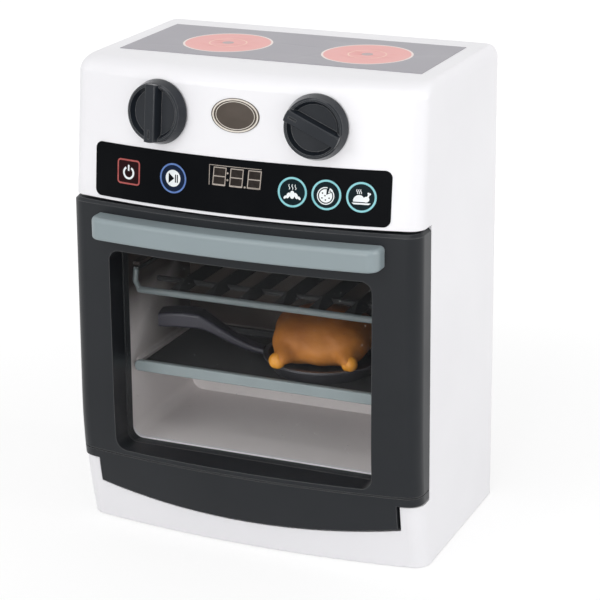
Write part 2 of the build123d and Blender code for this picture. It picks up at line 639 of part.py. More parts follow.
def make_door_frame():
    wide = FLOOR_WIDTH
    back = FRONT_Y + DOOR_THICK
    full = lower_block(0, 10.0, DOOR_TOP_Z, 0, back)
    top_edges = full.edges().group_by(Axis.Z)[-1].sort_by(Axis.Y)[:-1]
    full = chamfer(top_edges, 1.6)
    panel = block(-wide, wide, FRONT_Y - 20, back, DOOR_BOTTOM_Z, DOOR_TOP_Z)
    apron = smile(APRON_SIDE_Z, APRON_MID_Z, APRON_HALF, DOOR_BOTTOM_Z + 1, FRONT_Y - 20, FRONT_Y + 12)
    outer = full & (panel + apron)
    inside = lower_block(WALL, 5.0, DOOR_TOP_Z + 5, 0, back + 5)
    room = block(-wide, wide, FRONT_Y - 20, back + 5, DOOR_BOTTOM_Z + WALL, DOOR_TOP_Z - WALL)
    room += smile(5.0, 2.0, APRON_HALF - WALL, DOOR_BOTTOM_Z + WALL + 1, FRONT_Y - 20, back + 5)
    frame = outer - (inside & room)
    for x, z in FRAME_SCREWS:
        frame += rod_y(x, FRONT_Y - 15, back - WALL, z, 3.4) & outer
    frame += (reveal(2.2) & outer) & block(-wide, wide, FRONT_Y - 20, REVEAL_Y, 0, 200)
    frame -= reveal(0)
    for x, z in FRAME_SCREWS:
        frame -= rod_y(x, back - WALL - 9, back, z, PILOT_R)
    for side in (-1, 1):
        x, z = side * HANDLE_SCREW[0], HANDLE_SCREW[1]
        frame += rod_y(x, FRONT_Y - 15, handle_seat_y(), z, 3.6) & outer
        frame -= rod_y(x, FRONT_Y - 15, FRONT_Y + 5, z, SCREW_R)
        frame += hinge_knuckles(side, outer)
        x = side * HINGE_X
        frame -= rod_x(x - 3.0, x + 3.0, HINGE_Y, HINGE_Z, 3.4)
    skin = lower_block(0, 10.0, DOOR_TOP_Z + 5, 0, back + 5)
    skin -= lower_block(DOOR_GROOVE, 10.0, DOOR_TOP_Z + 5, 0, back + 5)
    low = GROOVE_Z - DOOR_GROOVE / 2
    return frame - (skin & block(-wide, wide, FRONT_Y - 20, back + 1, low, low + DOOR_GROOVE))


def handle_seat_y():
    """Where the heads of the handle's screws bear, inside the door."""
    return door_front_y(HANDLE_SCREW[0], HANDLE_SCREW[1]) + WALL + 0.8


def hinge_knuckles(side, outer):
    """Two bored cheeks inside the apron, one at each side of the hinge ear."""
    cheeks = Part()
    for offset in (-5.2, 5.2):
        x = side * HINGE_X + offset
        cheek = rod_x(x - 2, x + 2, HINGE_Y, HINGE_Z, 3.2)
        cheek += block(x - 2, x + 2, FRONT_Y - 10, HINGE_Y, HINGE_Z - 3.2, HINGE_Z + 3.2) & outer
        cheeks += cheek - rod_x(x - 5, x + 5, HINGE_Y, HINGE_Z, PIN_R + CLEAR)
    return cheeks


def make_inner_frame():
    back = FRONT_Y + DOOR_THICK
    plate = lower_block(WALL + 0.25, DOOR_BOTTOM_Z + WALL + 0.3, DOOR_TOP_Z - WALL - 0.3, 0, back)
    plate &= block(-FLOOR_WIDTH, FLOOR_WIDTH, back - WALL + 0.2, back, 0, HEIGHT)
    low, high = WINDOW_LOW - 2.2, WINDOW_HIGH + 2.0
    frame = plate + rounded_slab(COLLAR_HALF, low, high, REVEAL_Y + PANE_THICK, back, 7.5)
    frame -= rounded_slab(COLLAR_HALF - COLLAR_WALL, low + COLLAR_WALL, high - COLLAR_WALL,
                          REVEAL_Y, back + 1, 6.0)
    for x, z in FRAME_SCREWS:
        frame -= rod_y(x, back - 5, back + 1, z, SCREW_R)
        frame -= rod_y(x, back - 1.1, back + 1, z, 3.1)
    frame -= block(-6.5, 6.5, back - 5, back + 1, CATCH_Z - 2.8, CATCH_Z + 2.8)
    return frame


def make_window_pane():
    back = REVEAL_Y + PANE_THICK
    return rounded_slab(WINDOW_HALF + 1.4, WINDOW_LOW - 1.4, WINDOW_HIGH + 1.4, REVEAL_Y, back, 7.0)


def make_frame_screws():
    group = Part()
    back = FRONT_Y + DOOR_THICK
    for x, z in FRAME_SCREWS:
        group += Pos(x, back - 1.1, z) * TO_BACK * screw(9, head_h=1.0)
    return group


def handle_form(inset, z0, z1, y_back):
    """The handle's outer form: parallel to the door's bow, its ends turned back."""
    sag = bow_y(0, DOOR_BOW) - bow_y(HANDLE_HALF, DOOR_BOW)
    y_end = door_front_y(HANDLE_HALF, HANDLE_LOW) - HANDLE_OUT + inset
    ring = outline(z0, HANDLE_HALF - inset, y_end, sag, y_back, 7.0 - inset, 0)
    return extrude(ring, z1 - z0)


def make_door_handle():
    behind = lower_block(0, 10.0, DOOR_TOP_Z, 0, FRONT_Y + 30)
    bar = handle_form(0, HANDLE_LOW, HANDLE_HIGH, FRONT_Y + 10)
    front = bar.edges().filter_by_position(Axis.Y, -200, FRONT_Y - 2)
    bar = fillet(front.group_by(Axis.Z)[-1], 2.4)
    front = bar.edges().filter_by_position(Axis.Y, -200, FRONT_Y - 2)
    bar = fillet(front.group_by(Axis.Z)[0], 1.4)
    bar -= behind
    grip = handle_form(HANDLE_WALL, HANDLE_LOW - 2, HANDLE_HIGH - HANDLE_WALL, FRONT_Y + 10)
    inner = HANDLE_HALF - HANDLE_POST
    bar -= grip & block(-inner, inner, FRONT_Y - 60, FRONT_Y + 20, 0, 200)
    for side in (-1, 1):
        bar -= rod_y(side * HANDLE_SCREW[0], FRONT_Y - 12, FRONT_Y + 5, HANDLE_SCREW[1], PILOT_R)
    return bar


def make_handle_screws():
    group = Part()
    for side in (-1, 1):
        place = Pos(side * HANDLE_SCREW[0], handle_seat_y(), HANDLE_SCREW[1])
        group += place * TO_BACK * screw(10, head_h=1.6)
    return group


def make_door_catch():
    """A springy tongue on the bulkhead that the door's back snaps over."""
    tongue = block(-4.5, 4.5, BULK_Y - 6.5, BULK_Y, CATCH_Z - 1.0, CATCH_Z + 1.0)
    tongue += rod_x(-4.5, 4.5, BULK_Y - 5.4, CATCH_Z, 1.6)
    return tongue


# ------------------------------------------------------------------ knobs
RIM_R = 14.7
DISH_R = 13.2
DISH_DEPTH = 2.6
DISH_FLOOR = KNOB_DEPTH - DISH_DEPTH
SKIRT_LOW = 0.9                 # air between the fascia and the knob's skirt
GRIP_WIDTH = 6.4
GRIP_TOP = KNOB_DEPTH + 3.0
GRIP_TURN = {"left": 0.0, "right": -115.0}
BOSS_END = -13.0                # rear end of the shaft's bush, along the knob's axis
WHEEL_R = 9.5


def disc(radius, z):
    return Plane.XY.offset(z) * Circle(radius)


def make_knob(side):
    """A dished cap with a raised grip across it, on a hollow skirt and a keyed shaft."""
    knob = loft([disc(KNOB_R, SKIRT_LOW), disc(RIM_R, KNOB_DEPTH)])
    knob = chamfer(knob.edges().group_by(Axis.Z)[-1], 0.7)
    knob -= loft([disc(DISH_R - 1.6, DISH_FLOOR), disc(DISH_R, KNOB_DEPTH + 0.01)])
    knob -= rod_z(0, 0, 0, DISH_FLOOR - 1.6, KNOB_R - 1.8)

    low = Plane.XY.offset(DISH_FLOOR - 1) * Rectangle(GRIP_WIDTH + 1.6, 2 * RIM_R)
    high = Plane.XY.offset(GRIP_TOP) * Rectangle(GRIP_WIDTH - 0.6, 2 * RIM_R)
    grip = loft([low, high])
    grip = fillet(grip.edges().group_by(Axis.Z)[-1].filter_by(Axis.Y), 0.9)
    knob += grip & rod_z(0, 0, 0, 20, RIM_R - 0.1)
    knob -= Pos(0, -RIM_R + 4.2, GRIP_TOP) * Box(1.1, 4.4, 1.2)

    knob += rod_z(0, 0, 0.3, DISH_FLOOR - 0.2, SHAFT_R + 2.2)
    knob += rod_z(0, 0, BOSS_END - 0.3, DISH_FLOOR - 0.4, SHAFT_R)
    knob += Pos(0, 0, BOSS_END - 1.8) * (Cylinder(3.0, 3.2) - Pos(4.3, 0, 0) * Box(4, 8, 4))
    knob -= rod_z(0, 0, BOSS_END - 11, BOSS_END + 5, PILOT_R)
    return KNOB_FRAMES[side] * Rot(0, 0, GRIP_TURN[side]) * knob


def make_click_wheel(side):
    wheel = Cylinder(WHEEL_R, 3.0)
    for i in range(12):
        wheel -= Rot(0, 0, 30 * i + 15) * Pos(WHEEL_R + 0.9, 0, 0) * Cylinder(2.0, 4)
    wheel -= Cylinder(3.0 + CLEAR, 4) - Pos(4.35, 0, 0) * Box(4, 8, 4)
    frame = KNOB_FRAMES[side] * Rot(0, 0, GRIP_TURN[side])
    return frame * Pos(0, 0, BOSS_END - 1.9) * wheel


def make_knob_screw(side):
    frame = KNOB_FRAMES[side] * Rot(0, 0, GRIP_TURN[side])
    return frame * Pos(0, 0, BOSS_END - 3.4) * UPWARDS * screw(7, head_r=3.6)


def make_click_springs():
    """A plastic leaf with a nose beside each click wheel."""
    group = Part()
    for frame in KNOB_FRAMES.values():
        leaf = Pos(0, -WHEEL_R - 3.4, -9.1) * Box(7, 1.4, 16.0)
        leaf += Pos(0, -WHEEL_R - 2.4, BOSS_END - 1.9) * Cylinder(1.6, 3.0)
        group += frame * leaf
    return group & upper_block(WALL, FASCIA_Z + WALL, BACK_Y + 5)


def make_knob_switches():
    """A small switch beside each click wheel, on its own foot."""
    group = Part()
    for frame in KNOB_FRAMES.values():
        switch = Pos(0, -WHEEL_R - 9.4, -11.0) * Box(9, 6, 7) + Pos(0, -WHEEL_R - 9.4, -4.3) * Box(5, 4, 6.6)
        group += frame * switch
    return group & upper_block(WALL, FASCIA_Z + WALL, BACK_Y + 5)


# ------------------------------------------------------------------ rack, shelf and what stands on it
BAR_R = 1.8
RACK_HALF = 68.6
RAIL_X = 71.4
RAIL_LOW = 138.2
RAIL_HIGH = 140.2
WING_R = 1.4
SECOND_BAR = 21.3               # the rack's second bar behind its front bar
SLAT_COUNT = 6
SLAT_PITCH = 19.8
SLAT_HALF = 4.5
SLAT_FOOT = 0.9                 # slats start this far under the bars' axis
SLAT_RIDGE = 4.2                # and rise to a ridge this far over it
SLAT_SLOPE = 15.0               # length of the slope from the front bar up to the ridge
SHELF_HALF = 72.4
SHELF_THICK = 2.2
SHELF_DEPTH = 70.0
LIP_LOW = SHELF_Z - 0.6
LIP_HIGH = SHELF_Z + 5.5
LIP_Y = FRONT_Y + 20.2
PAN_X = 22.0
PAN_Y = FRONT_Y + 58.2
PAN_R = 31.6
PAN_HEIGHT = 8.0
PAN_WALL = 1.4
PAN_BRIM = 1.0


def rod_between(a, b, radius):
    """A round bar from point a to point b."""
    a, b = Vector(a), Vector(b)
    return extrude(Plane(origin=a, z_dir=b - a) * Circle(radius), (b - a).length)


def make_upper_rack():
    y0, y1 = RACK_FRONT_Y, RACK_FRONT_Y + SLIDE_DEPTH
    rack = rod_x(-RACK_HALF, RACK_HALF, y0, RACK_Z, BAR_R)
    for y in (y0 + SECOND_BAR, y1 - BAR_R):
        rack += rod_x(-RACK_HALF, RACK_HALF, y, RACK_Z, BAR_R - 0.3)
    for side in (-1, 1):
        x = side * RACK_HALF
        elbow = (side * RAIL_X, y0 + 0.6, RACK_Z + 4.2)
        top = (side * RAIL_X, y0 + 1.6, RAIL_HIGH - WING_R)
        rack += Pos(x, y0, RACK_Z) * Sphere(BAR_R)
        rack += rod_between((x, y0, RACK_Z), elbow, WING_R) + rod_between(elbow, top, WING_R)
        rack += Pos(*elbow) * Sphere(WING_R) + Pos(*top) * Sphere(WING_R)
        rack += Pos(x, y1 - BAR_R, RACK_Z) * Sphere(BAR_R - 0.3)
        rack += rod_between((x, y1 - BAR_R, RACK_Z), (side * (RIB_IN - 2), y1 - BAR_R, RAIL_LOW + 1), WING_R)
        a, b = sorted((side * (RIB_IN - 0.2), side * (RAIL_X + WING_R)))
        rack += block(a, b, y0 + 1.6, y1, RAIL_LOW, RAIL_HIGH)
        a, b = sorted((side * (RIB_IN - 3.4), side * RAIL_X))
        rack += block(a, b, y1 - BAR_R - WING_R, y1, RAIL_LOW, RAIL_HIGH)
    for i in range(SLAT_COUNT):
        rack += rack_slat((i - (SLAT_COUNT - 1) / 2) * SLAT_PITCH, y0, y1 - BAR_R)
    return rack


def rack_slat(x, y0, y1):
    """A ridged slat: triangular across, sloping up from the front bar to the height of its ridge."""
    foot, ridge = RACK_Z - SLAT_FOOT, RACK_Z + SLAT_RIDGE
    across = Plane(origin=(x, y1, 0), x_dir=(1, 0, 0), z_dir=(0, -1, 0))
    slat = extrude(across * make_face(Polyline((-SLAT_HALF, foot), (SLAT_HALF, foot), (0, ridge),
                                               (-SLAT_HALF, foot))), y1 - y0)
    along = Plane(origin=(x - SLAT_HALF, 0, 0), x_dir=(0, 1, 0), z_dir=(1, 0, 0))
    side = Polyline((y0, foot), (y1, foot), (y1, ridge), (y0 + SLAT_SLOPE, ridge), (y0, RACK_Z + 0.4),
                    (y0, foot))
    return slat & extrude(along * make_face(side), 2 * SLAT_HALF)


def make_lower_shelf():
    y1 = LIP_Y + SHELF_DEPTH
    plate = block(-SHELF_HALF, SHELF_HALF, LIP_Y, y1, SHELF_Z, SHELF_Z + SHELF_THICK)
    plate = fillet(plate.edges().filter_by(Axis.Z), 2.0)
    lip = block(-SHELF_HALF, SHELF_HALF, LIP_Y, LIP_Y + 2.6, LIP_LOW, LIP_HIGH)
    lip = fillet(lip.edges().filter_by(Axis.Y), 2.6)
    lip = fillet(lip.edges().group_by(Axis.Y)[0], 0.9)
    back = block(-SHELF_HALF + 6, SHELF_HALF - 6, y1 - 2, y1, SHELF_Z, LIP_HIGH)
    return plate + lip + back


def pan_room():
    """The hollow of the pan."""
    low = SHELF_Z + SHELF_THICK
    floor = Plane.XY.offset(low + PAN_WALL) * Circle(PAN_R - 4.8)
    brim = Plane.XY.offset(low + PAN_HEIGHT + 0.01) * Circle(PAN_R - 1.6)
    return Pos(PAN_X, PAN_Y, 0) * loft([floor, brim])


def make_frying_pan():
    low = SHELF_Z + SHELF_THICK
    brim = low + PAN_HEIGHT
    outer = loft([disc(PAN_R - 4, low), disc(PAN_R, brim)]) + rod_z(0, 0, brim - 1.2, brim, PAN_R + PAN_BRIM)
    return Pos(PAN_X, PAN_Y, 0) * outer - pan_room()


# The grip's sections: distance from the brim, height of the middle, width and thickness.
PAN_HANDLE_WAY = (-78.5, -17.5)
PAN_HANDLE_NECK = ((0.0, 93.2, 8.0, 3.4), (12.0, 96.6, 8.4, 4.6), (23.0, 102.6, 10.0, 6.0),
                   (34.0, 108.8, 13.4, 8.0))
PAN_HANDLE_GRIP = ((34.0, 108.8, 13.4, 8.0), (45.0, 109.4, 14.0, 8.4), (56.8, 108.6, 12.6, 7.8))


def make_pan_handle():
    """A neck that rises from the pan's brim to a thick flat grip at the left."""
    flat = Vector(*PAN_HANDLE_WAY, 0).normalized()
    brim = Vector(PAN_X, PAN_Y, 0) + flat * (PAN_R + PAN_BRIM)
    handle = Part()
    for stretch in (PAN_HANDLE_NECK, PAN_HANDLE_GRIP):
        sections = []
        for distance, z, wide, thick in stretch:
            middle = brim + flat * distance + Vector(0, 0, z)
            plane = Plane(origin=middle, x_dir=(-flat.Y, flat.X, 0), z_dir=flat)
            sections.append(plane * RectangleRounded(wide, thick, 1.6))
        handle += loft(sections)
    low = SHELF_Z + SHELF_THICK
    return handle - rod_z(PAN_X, PAN_Y, low, low + PAN_HEIGHT, PAN_R + PAN_BRIM)


def egg(x, y, z, a, b, c):
    """An ellipsoid with half axes a, b, c."""
    return Pos(x, y, z) * scale(Sphere(1), by=(a, b, c))


ROAST_TURN = 15.0               # the roast lies turned in the pan
ROAST_Y = PAN_Y - 1.2


def make_roast_chicken():
    """A body on a flat foot, two legs that end in round knuckles and two wings, lying in the pan."""
    low = PAN_WALL
    bird = egg(0, 3, low + 16.5, 26, 21, 15.5)
    bird += rod_z(0, 6, low - 1, low + 6, 9)
    bird += egg(-1, -8, low + 14, 15, 12, 9.5)
    for side in (-1, 1):
        bird += egg(side * 15.5 - 1.5, -6, low + 14, 9, 13, 8.5)
        bird += rod_between((side * 15 - 2, -13, low + 10), (side * 18.4 - 2.4, -22.4, low + 10), 2.6)
        bird += egg(side * 18.8 - 2.4, -23.4, low + 10, 4.4, 4.2, 4.4)
        bird += egg(side * 20.5, 8, low + 16, 6.5, 11, 7)
    bird = Pos(PAN_X, ROAST_Y, SHELF_Z + SHELF_THICK) * Rot(0, 0, ROAST_TURN) * bird
    brim = SHELF_Z + SHELF_THICK + PAN_HEIGHT
    above = block(PAN_X - 60, PAN_X + 60, PAN_Y - 60, PAN_Y + 60, brim, brim + 40)
    return bird & (pan_room() + above)


# ------------------------------------------------------------------ write every piece
save("body_shell", make_body_shell())
save("hinge_pins", make_hinge_pins())
save("rear_cover", make_rear_cover())
save("rear_cover_screws", make_rear_screws())
save("base_plate", make_base_plate())
save("base_screws", make_base_screws())
save("rubber_feet", make_feet())
sheet_skin = fascia_skin()
save("control_panel", make_control_panel(sheet_skin))
save("badge_oval", make_badge(sheet_skin))
save("hob_sheet", make_hob_sheet())
save("cavity_liner", make_cavity_liner())
save("liner_screws", make_liner_screws())
save("lamp_lens", make_lamp_lens())
save("cavity_lamp", make_lamp())
save("circuit_board", make_circuit_board())
save("board_parts", make_board_parts())
save("board_screws", make_board_screws())
save("speaker", make_speaker())
save("battery_box", make_battery_box())
save("battery_cells", make_cells())
save("battery_contacts", make_contacts())
save("battery_door", make_battery_door())
save("battery_door_screw", make_battery_screw())
save("leads", make_leads())
save("door_catch", make_door_catch())
save("click_springs", make_click_springs())
save("knob_switches", make_knob_switches())
save("door_frame", make_door_frame())
save("door_inner_frame", make_inner_frame())
save("inner_frame_screws", make_frame_screws())
save("window_pane", make_window_pane())
save("door_handle", make_door_handle())
save("handle_screws", make_handle_screws())
for which in ("left", "right"):
    save(f"{which}_knob", make_knob(which))
    save(f"{which}_click_wheel", make_click_wheel(which))
    save(f"{which}_knob_screw", make_knob_screw(which))
save("upper_rack", make_upper_rack())
save("lower_shelf", make_lower_shelf())
save("frying_pan", make_frying_pan())
save("pan_handle", make_pan_handle())
save("roast_chicken", make_roast_chicken())
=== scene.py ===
import math

import bmesh
import bpy
from mathutils import Matrix, Quaternion, Vector
from mathutils.bvhtree import BVHTree
from mathutils.noise import noise


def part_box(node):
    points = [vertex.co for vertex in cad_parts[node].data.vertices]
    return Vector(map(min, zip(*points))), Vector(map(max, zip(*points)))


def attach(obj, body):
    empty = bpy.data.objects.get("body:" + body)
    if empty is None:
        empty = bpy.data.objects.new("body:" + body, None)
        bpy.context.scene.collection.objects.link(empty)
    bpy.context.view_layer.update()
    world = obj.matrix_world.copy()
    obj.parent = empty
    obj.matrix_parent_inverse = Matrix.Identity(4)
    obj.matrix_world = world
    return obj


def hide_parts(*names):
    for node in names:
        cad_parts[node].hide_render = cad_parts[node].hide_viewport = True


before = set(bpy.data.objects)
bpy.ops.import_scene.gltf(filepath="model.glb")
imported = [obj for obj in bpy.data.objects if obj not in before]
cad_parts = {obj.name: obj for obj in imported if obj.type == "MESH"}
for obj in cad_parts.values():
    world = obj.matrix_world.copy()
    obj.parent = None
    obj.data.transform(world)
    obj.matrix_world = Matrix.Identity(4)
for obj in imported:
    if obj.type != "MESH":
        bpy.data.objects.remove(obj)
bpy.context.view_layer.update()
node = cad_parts
scene = bpy.context.scene


# View. The camera stands a little over a metre from the oven, to the right of its front and above its
# hob, with a long lens, and its picture is very slightly rolled.
CAMERA_AZIMUTH = math.radians(23.116)
CAMERA_ELEVATION = math.radians(18.618)
CAMERA_ROLL = math.radians(-0.286)
CAMERA_DISTANCE = 1.13007
CAMERA_TARGET = Vector((0.0084, 0.0062, 0.1217))
CAMERA_LENS = 127.85
CAMERA_SENSOR = 36

towards_camera = Vector((
    math.cos(CAMERA_ELEVATION) * math.sin(CAMERA_AZIMUTH),
    -math.cos(CAMERA_ELEVATION) * math.cos(CAMERA_AZIMUTH),
    math.sin(CAMERA_ELEVATION),
))
level_right = Vector((math.cos(CAMERA_AZIMUTH), math.sin(CAMERA_AZIMUTH), 0))
level_up = towards_camera.cross(level_right)
camera_right = level_right * math.cos(CAMERA_ROLL) + level_up * math.sin(CAMERA_ROLL)
camera_up = level_up * math.cos(CAMERA_ROLL) - level_right * math.sin(CAMERA_ROLL)
camera_data = bpy.data.cameras.new("camera")
camera_data.lens = CAMERA_LENS
camera_data.sensor_width = CAMERA_SENSOR
camera = bpy.data.objects.new("camera", camera_data)
camera_turn = Matrix((camera_right, camera_up, towards_camera)).transposed().to_4x4()
camera.matrix_world = Matrix.Translation(CAMERA_TARGET + towards_camera * CAMERA_DISTANCE) @ camera_turn
scene.collection.objects.link(camera)
scene.camera = camera
scene.view_settings.view_transform = "Standard"


# Studio. A white floor that runs out of sight under a white room, a wide soft lamp over the front left, a
# low one that reaches into the oven space, one on the right and one overhead. The floor near the oven
# keeps its soft shadow, and farther out it fades into the white of the room.
FLOOR_HALF = 6.0
FLOOR_GLOW = 1.18
GLOW_SHARE_NEAR, GLOW_SHARE_FAR = 0.60, 0.85
NEAR_REACH, FAR_REACH = 0.22, 0.60
FLOOR_PAINT = (0.78, 0.78, 0.78, 1)
WHITE = (1, 1, 1, 1)
ROOM_LIGHT = 0.56


def add(tree, kind, sockets=None, **properties):
    """A shader node; a socket's value is set, or linked where the value is another socket."""
    made = tree.nodes.new("ShaderNode" + kind)
    for name, value in properties.items():
        setattr(made, name, value)
    for name, value in (sockets or {}).items():
        if isinstance(value, bpy.types.NodeSocket):
            tree.links.new(value, made.inputs[name])
        else:
            made.inputs[name].default_value = value
    return made


def ramped(tree, value, low, high, first=0.0, last=1.0, shape="LINEAR"):
    """The value stretched so that low becomes first and high becomes last, held to that range."""
    span = {0: value, 1: low, 2: high, 3: first, 4: last}
    return add(tree, "MapRange", span, clamp=True, interpolation_type=shape).outputs[0]


def calculated(tree, operation, first, second):
    return add(tree, "Math", {0: first, 1: second}, operation=operation).outputs[0]


def seen_directly(tree):
    """1 for rays from the camera, a mirror or glass, and 0 for the rays that carry light."""
    rays = add(tree, "LightPath").outputs
    camera_or_glossy = calculated(tree, "MAXIMUM", rays["Is Camera Ray"], rays["Is Glossy Ray"])
    return calculated(tree, "MAXIMUM", camera_or_glossy, rays["Is Transmission Ray"])


def put_in_scene(name, mesh):
    made = bpy.data.objects.new(name, mesh)
    scene.collection.objects.link(made)
    return made


def new_room():
    world = bpy.data.worlds.new("white_room")
    world.use_nodes = True
    tree = world.node_tree
    tree.nodes.clear()
    light = add(tree, "Background", {"Color": WHITE, "Strength": ROOM_LIGHT})
    white = add(tree, "Background", {"Color": WHITE, "Strength": 1.0})
    shown = add(tree, "MixShader", {0: seen_directly(tree), 1: light.outputs[0], 2: white.outputs[0]})
    add(tree, "OutputWorld", {"Surface": shown.outputs[0]})
    scene.world = world


def new_floor():
    mesh = bpy.data.meshes.new("floor")
    corners = [(-FLOOR_HALF, -FLOOR_HALF, 0), (FLOOR_HALF, -FLOOR_HALF, 0),
               (FLOOR_HALF, FLOOR_HALF, 0), (-FLOOR_HALF, FLOOR_HALF, 0)]
    mesh.from_pydata(corners, [], [(0, 1, 2, 3)])
    material = bpy.data.materials.new("white_floor")
    material.use_nodes = True
    tree = material.node_tree
    tree.nodes.clear()
    lit = add(tree, "BsdfDiffuse", {"Color": FLOOR_PAINT})
    glow = add(tree, "Emission", {"Color": WHITE, "Strength": FLOOR_GLOW})
    place = add(tree, "TexCoord").outputs["Object"]
    reach = add(tree, "VectorMath", {0: place}, operation="LENGTH").outputs["Value"]
    fade = ramped(tree, reach, NEAR_REACH, FAR_REACH, GLOW_SHARE_NEAR, GLOW_SHARE_FAR, "SMOOTHSTEP")
    share = calculated(tree, "MULTIPLY", seen_directly(tree), fade)
    shown = add(tree, "MixShader", {0: share, 1: lit.outputs[0], 2: glow.outputs[0]})
    add(tree, "OutputMaterial", {"Surface": shown.outputs[0]})
    mesh.materials.append(material)
    put_in_scene("floor", mesh)


def soft_lamp(name, place, size, power):
    data = bpy.data.lights.new(name, "AREA")
    data.shape = "DISK"
    data.size = size
    data.energy = power
    lamp = bpy.data.objects.new(name, data)
    lamp.location = place
    lamp.rotation_euler = (Vector(place) - CAMERA_TARGET).to_track_quat("Z", "Y").to_euler()
    scene.collection.objects.link(lamp)


new_room()
new_floor()
soft_lamp("front_left_lamp", (-0.75, -1.6, 1.15), 0.9, 6.7)
soft_lamp("low_front_lamp", (0.15, -1.5, 0.33), 0.45, 5.0)
soft_lamp("right_lamp", (1.72, -0.02, 0.75), 0.9, 10.2)
soft_lamp("overhead_lamp", (0.05, -0.50, 1.85), 1.2, 6.6)


# White case. The body shell, the rear cover, the base plate and the battery door are moulded in white ABS
# with a polished skin; four screws from behind and four from below hold them together.
MM = 0.001
CASE_WHITE = (0.845, 0.838, 0.862, 1)
CASE_SHADE = (0.825, 0.818, 0.842, 1)
SATIN = 0.335
MARK_FAINT, MARK_FULL = 0.35, 0.7
MARK_MIDDLE, MARK_GLOSS_LOSS = 0.4, 0.12
EDGE_FLAT, EDGE_SHARP = 0.995, 0.9


def new_group(name, inputs, outputs):
    """An empty node group with named input and output sockets."""
    group = bpy.data.node_groups.new(name, "ShaderNodeTree")
    for label, kind, value in inputs:
        made = group.interface.new_socket(name=label, in_out="INPUT", socket_type="NodeSocket" + kind)
        made.default_value = value
    for label, kind in outputs:
        group.interface.new_socket(name=label, in_out="OUTPUT", socket_type="NodeSocket" + kind)
    return group, group.nodes.new("NodeGroupInput").outputs, group.nodes.new("NodeGroupOutput").inputs


def mixed(tree, share, first, second):
    """The first colour where share is 0 and the second where it is 1."""
    return add(tree, "Mix", {0: share, 6: first, 7: second}, data_type="RGBA").outputs[2]


def new_moulded_skin():
    """The skin of a moulded piece: cloudy flow marks, a fine grain, and a mask of its edges for a painted
    highlight.
    """
    group, given, result = new_group(
        "moulded_skin",
        [("Colour", "Color", WHITE), ("Marked Colour", "Color", WHITE), ("Gloss Loss", "Float", 0.3),
         ("Cloud Size", "Float", 0.03), ("Grain Size", "Float", 0.0004), ("Grain Depth", "Float", 1e-5),
         ("Ripple Depth", "Float", 2e-5), ("Edge Radius", "Float", 0.0004)],
        [("Colour", "Color"), ("Roughness", "Float"), ("Normal", "Vector"), ("Edge", "Float")],
    )
    place = add(group, "TexCoord").outputs["Object"]
    cloud_scale = calculated(group, "DIVIDE", 1.0, given["Cloud Size"])
    cloud = add(group, "TexNoise", {"Vector": place, "Scale": cloud_scale, "Detail": 5.0, "Roughness": 0.55})
    grain_scale = calculated(group, "DIVIDE", 1.0, given["Grain Size"])
    grain = add(group, "TexNoise", {"Vector": place, "Scale": grain_scale, "Detail": 2.0})
    bevel = add(group, "Bevel", {"Radius": given["Edge Radius"]}, samples=4)
    facing = add(
        group, "VectorMath", {0: bevel.outputs[0], 1: add(group, "NewGeometry").outputs["Normal"]},
        operation="DOT_PRODUCT",
    )
    edge = ramped(group, facing.outputs["Value"], EDGE_FLAT, EDGE_SHARP)
    mark = ramped(group, cloud.outputs[0], MARK_FAINT, MARK_FULL)
    group.links.new(mixed(group, mark, given["Colour"], given["Marked Colour"]), result["Colour"])
    uneven = calculated(
        group, "MULTIPLY", calculated(group, "SUBTRACT", mark, MARK_MIDDLE), MARK_GLOSS_LOSS
    )
    group.links.new(calculated(group, "ADD", given["Gloss Loss"], uneven), result["Roughness"])
    ripple = add(
        group, "Bump",
        {"Height": cloud.outputs[0], "Distance": given["Ripple Depth"], "Normal": bevel.outputs[0]},
    )
    fine = add(
        group, "Bump",
        {"Height": grain.outputs[0], "Distance": given["Grain Depth"], "Normal": ripple.outputs[0]},
    )
    group.links.new(fine.outputs[0], result["Normal"])
    group.links.new(edge, result["Edge"])
    return group


def blank_material(name, specular=0.5):
    """A material that holds one Principled BSDF, with its own node tree and that shader's sockets."""
    material = bpy.data.materials.new(name)
    material.use_nodes = True
    shader = material.node_tree.nodes["Principled BSDF"].inputs
    shader["Specular IOR Level"].default_value = specular
    return material, material.node_tree, shader


def skinned_plastic(name, colour, marked, gloss_loss, specular=0.5, painted_edge_highlight=0.0, **skin):
    """Moulded plastic: the moulded skin, with a share of white mixed in at its edges as a painted highlight.
    """
    material, tree, shader = blank_material(name, specular)
    values = {"Colour": colour, "Marked Colour": marked, "Gloss Loss": gloss_loss}
    values.update({label.replace("_", " ").title(): value for label, value in skin.items()})
    surface = add(tree, "Group", node_tree=moulded_skin)
    for label, value in values.items():
        surface.inputs[label].default_value = value
    paint = surface.outputs["Colour"]
    # The white at the edges is a painted highlight, not a colour of the plastic.
    if painted_edge_highlight:
        share = calculated(tree, "MULTIPLY", surface.outputs["Edge"], painted_edge_highlight)
        paint = mixed(tree, share, paint, WHITE)
    tree.links.new(paint, shader["Base Color"])
    tree.links.new(surface.outputs["Roughness"], shader["Roughness"])
    tree.links.new(surface.outputs["Normal"], shader["Normal"])
    return material


def give(material, *names):
    """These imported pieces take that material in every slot."""
    for name in names:
        for held in node[name].material_slots:
            held.material = material


moulded_skin = new_moulded_skin()
case_plastic = skinned_plastic(
    "white_case_plastic", CASE_WHITE, CASE_SHADE, SATIN, cloud_size=0.09, grain_size=0.0015,
    grain_depth=1e-6, ripple_depth=4e-6, edge_radius=0.0005,
)
give(case_plastic, "body_shell", "rear_cover", "battery_door", "base_plate")


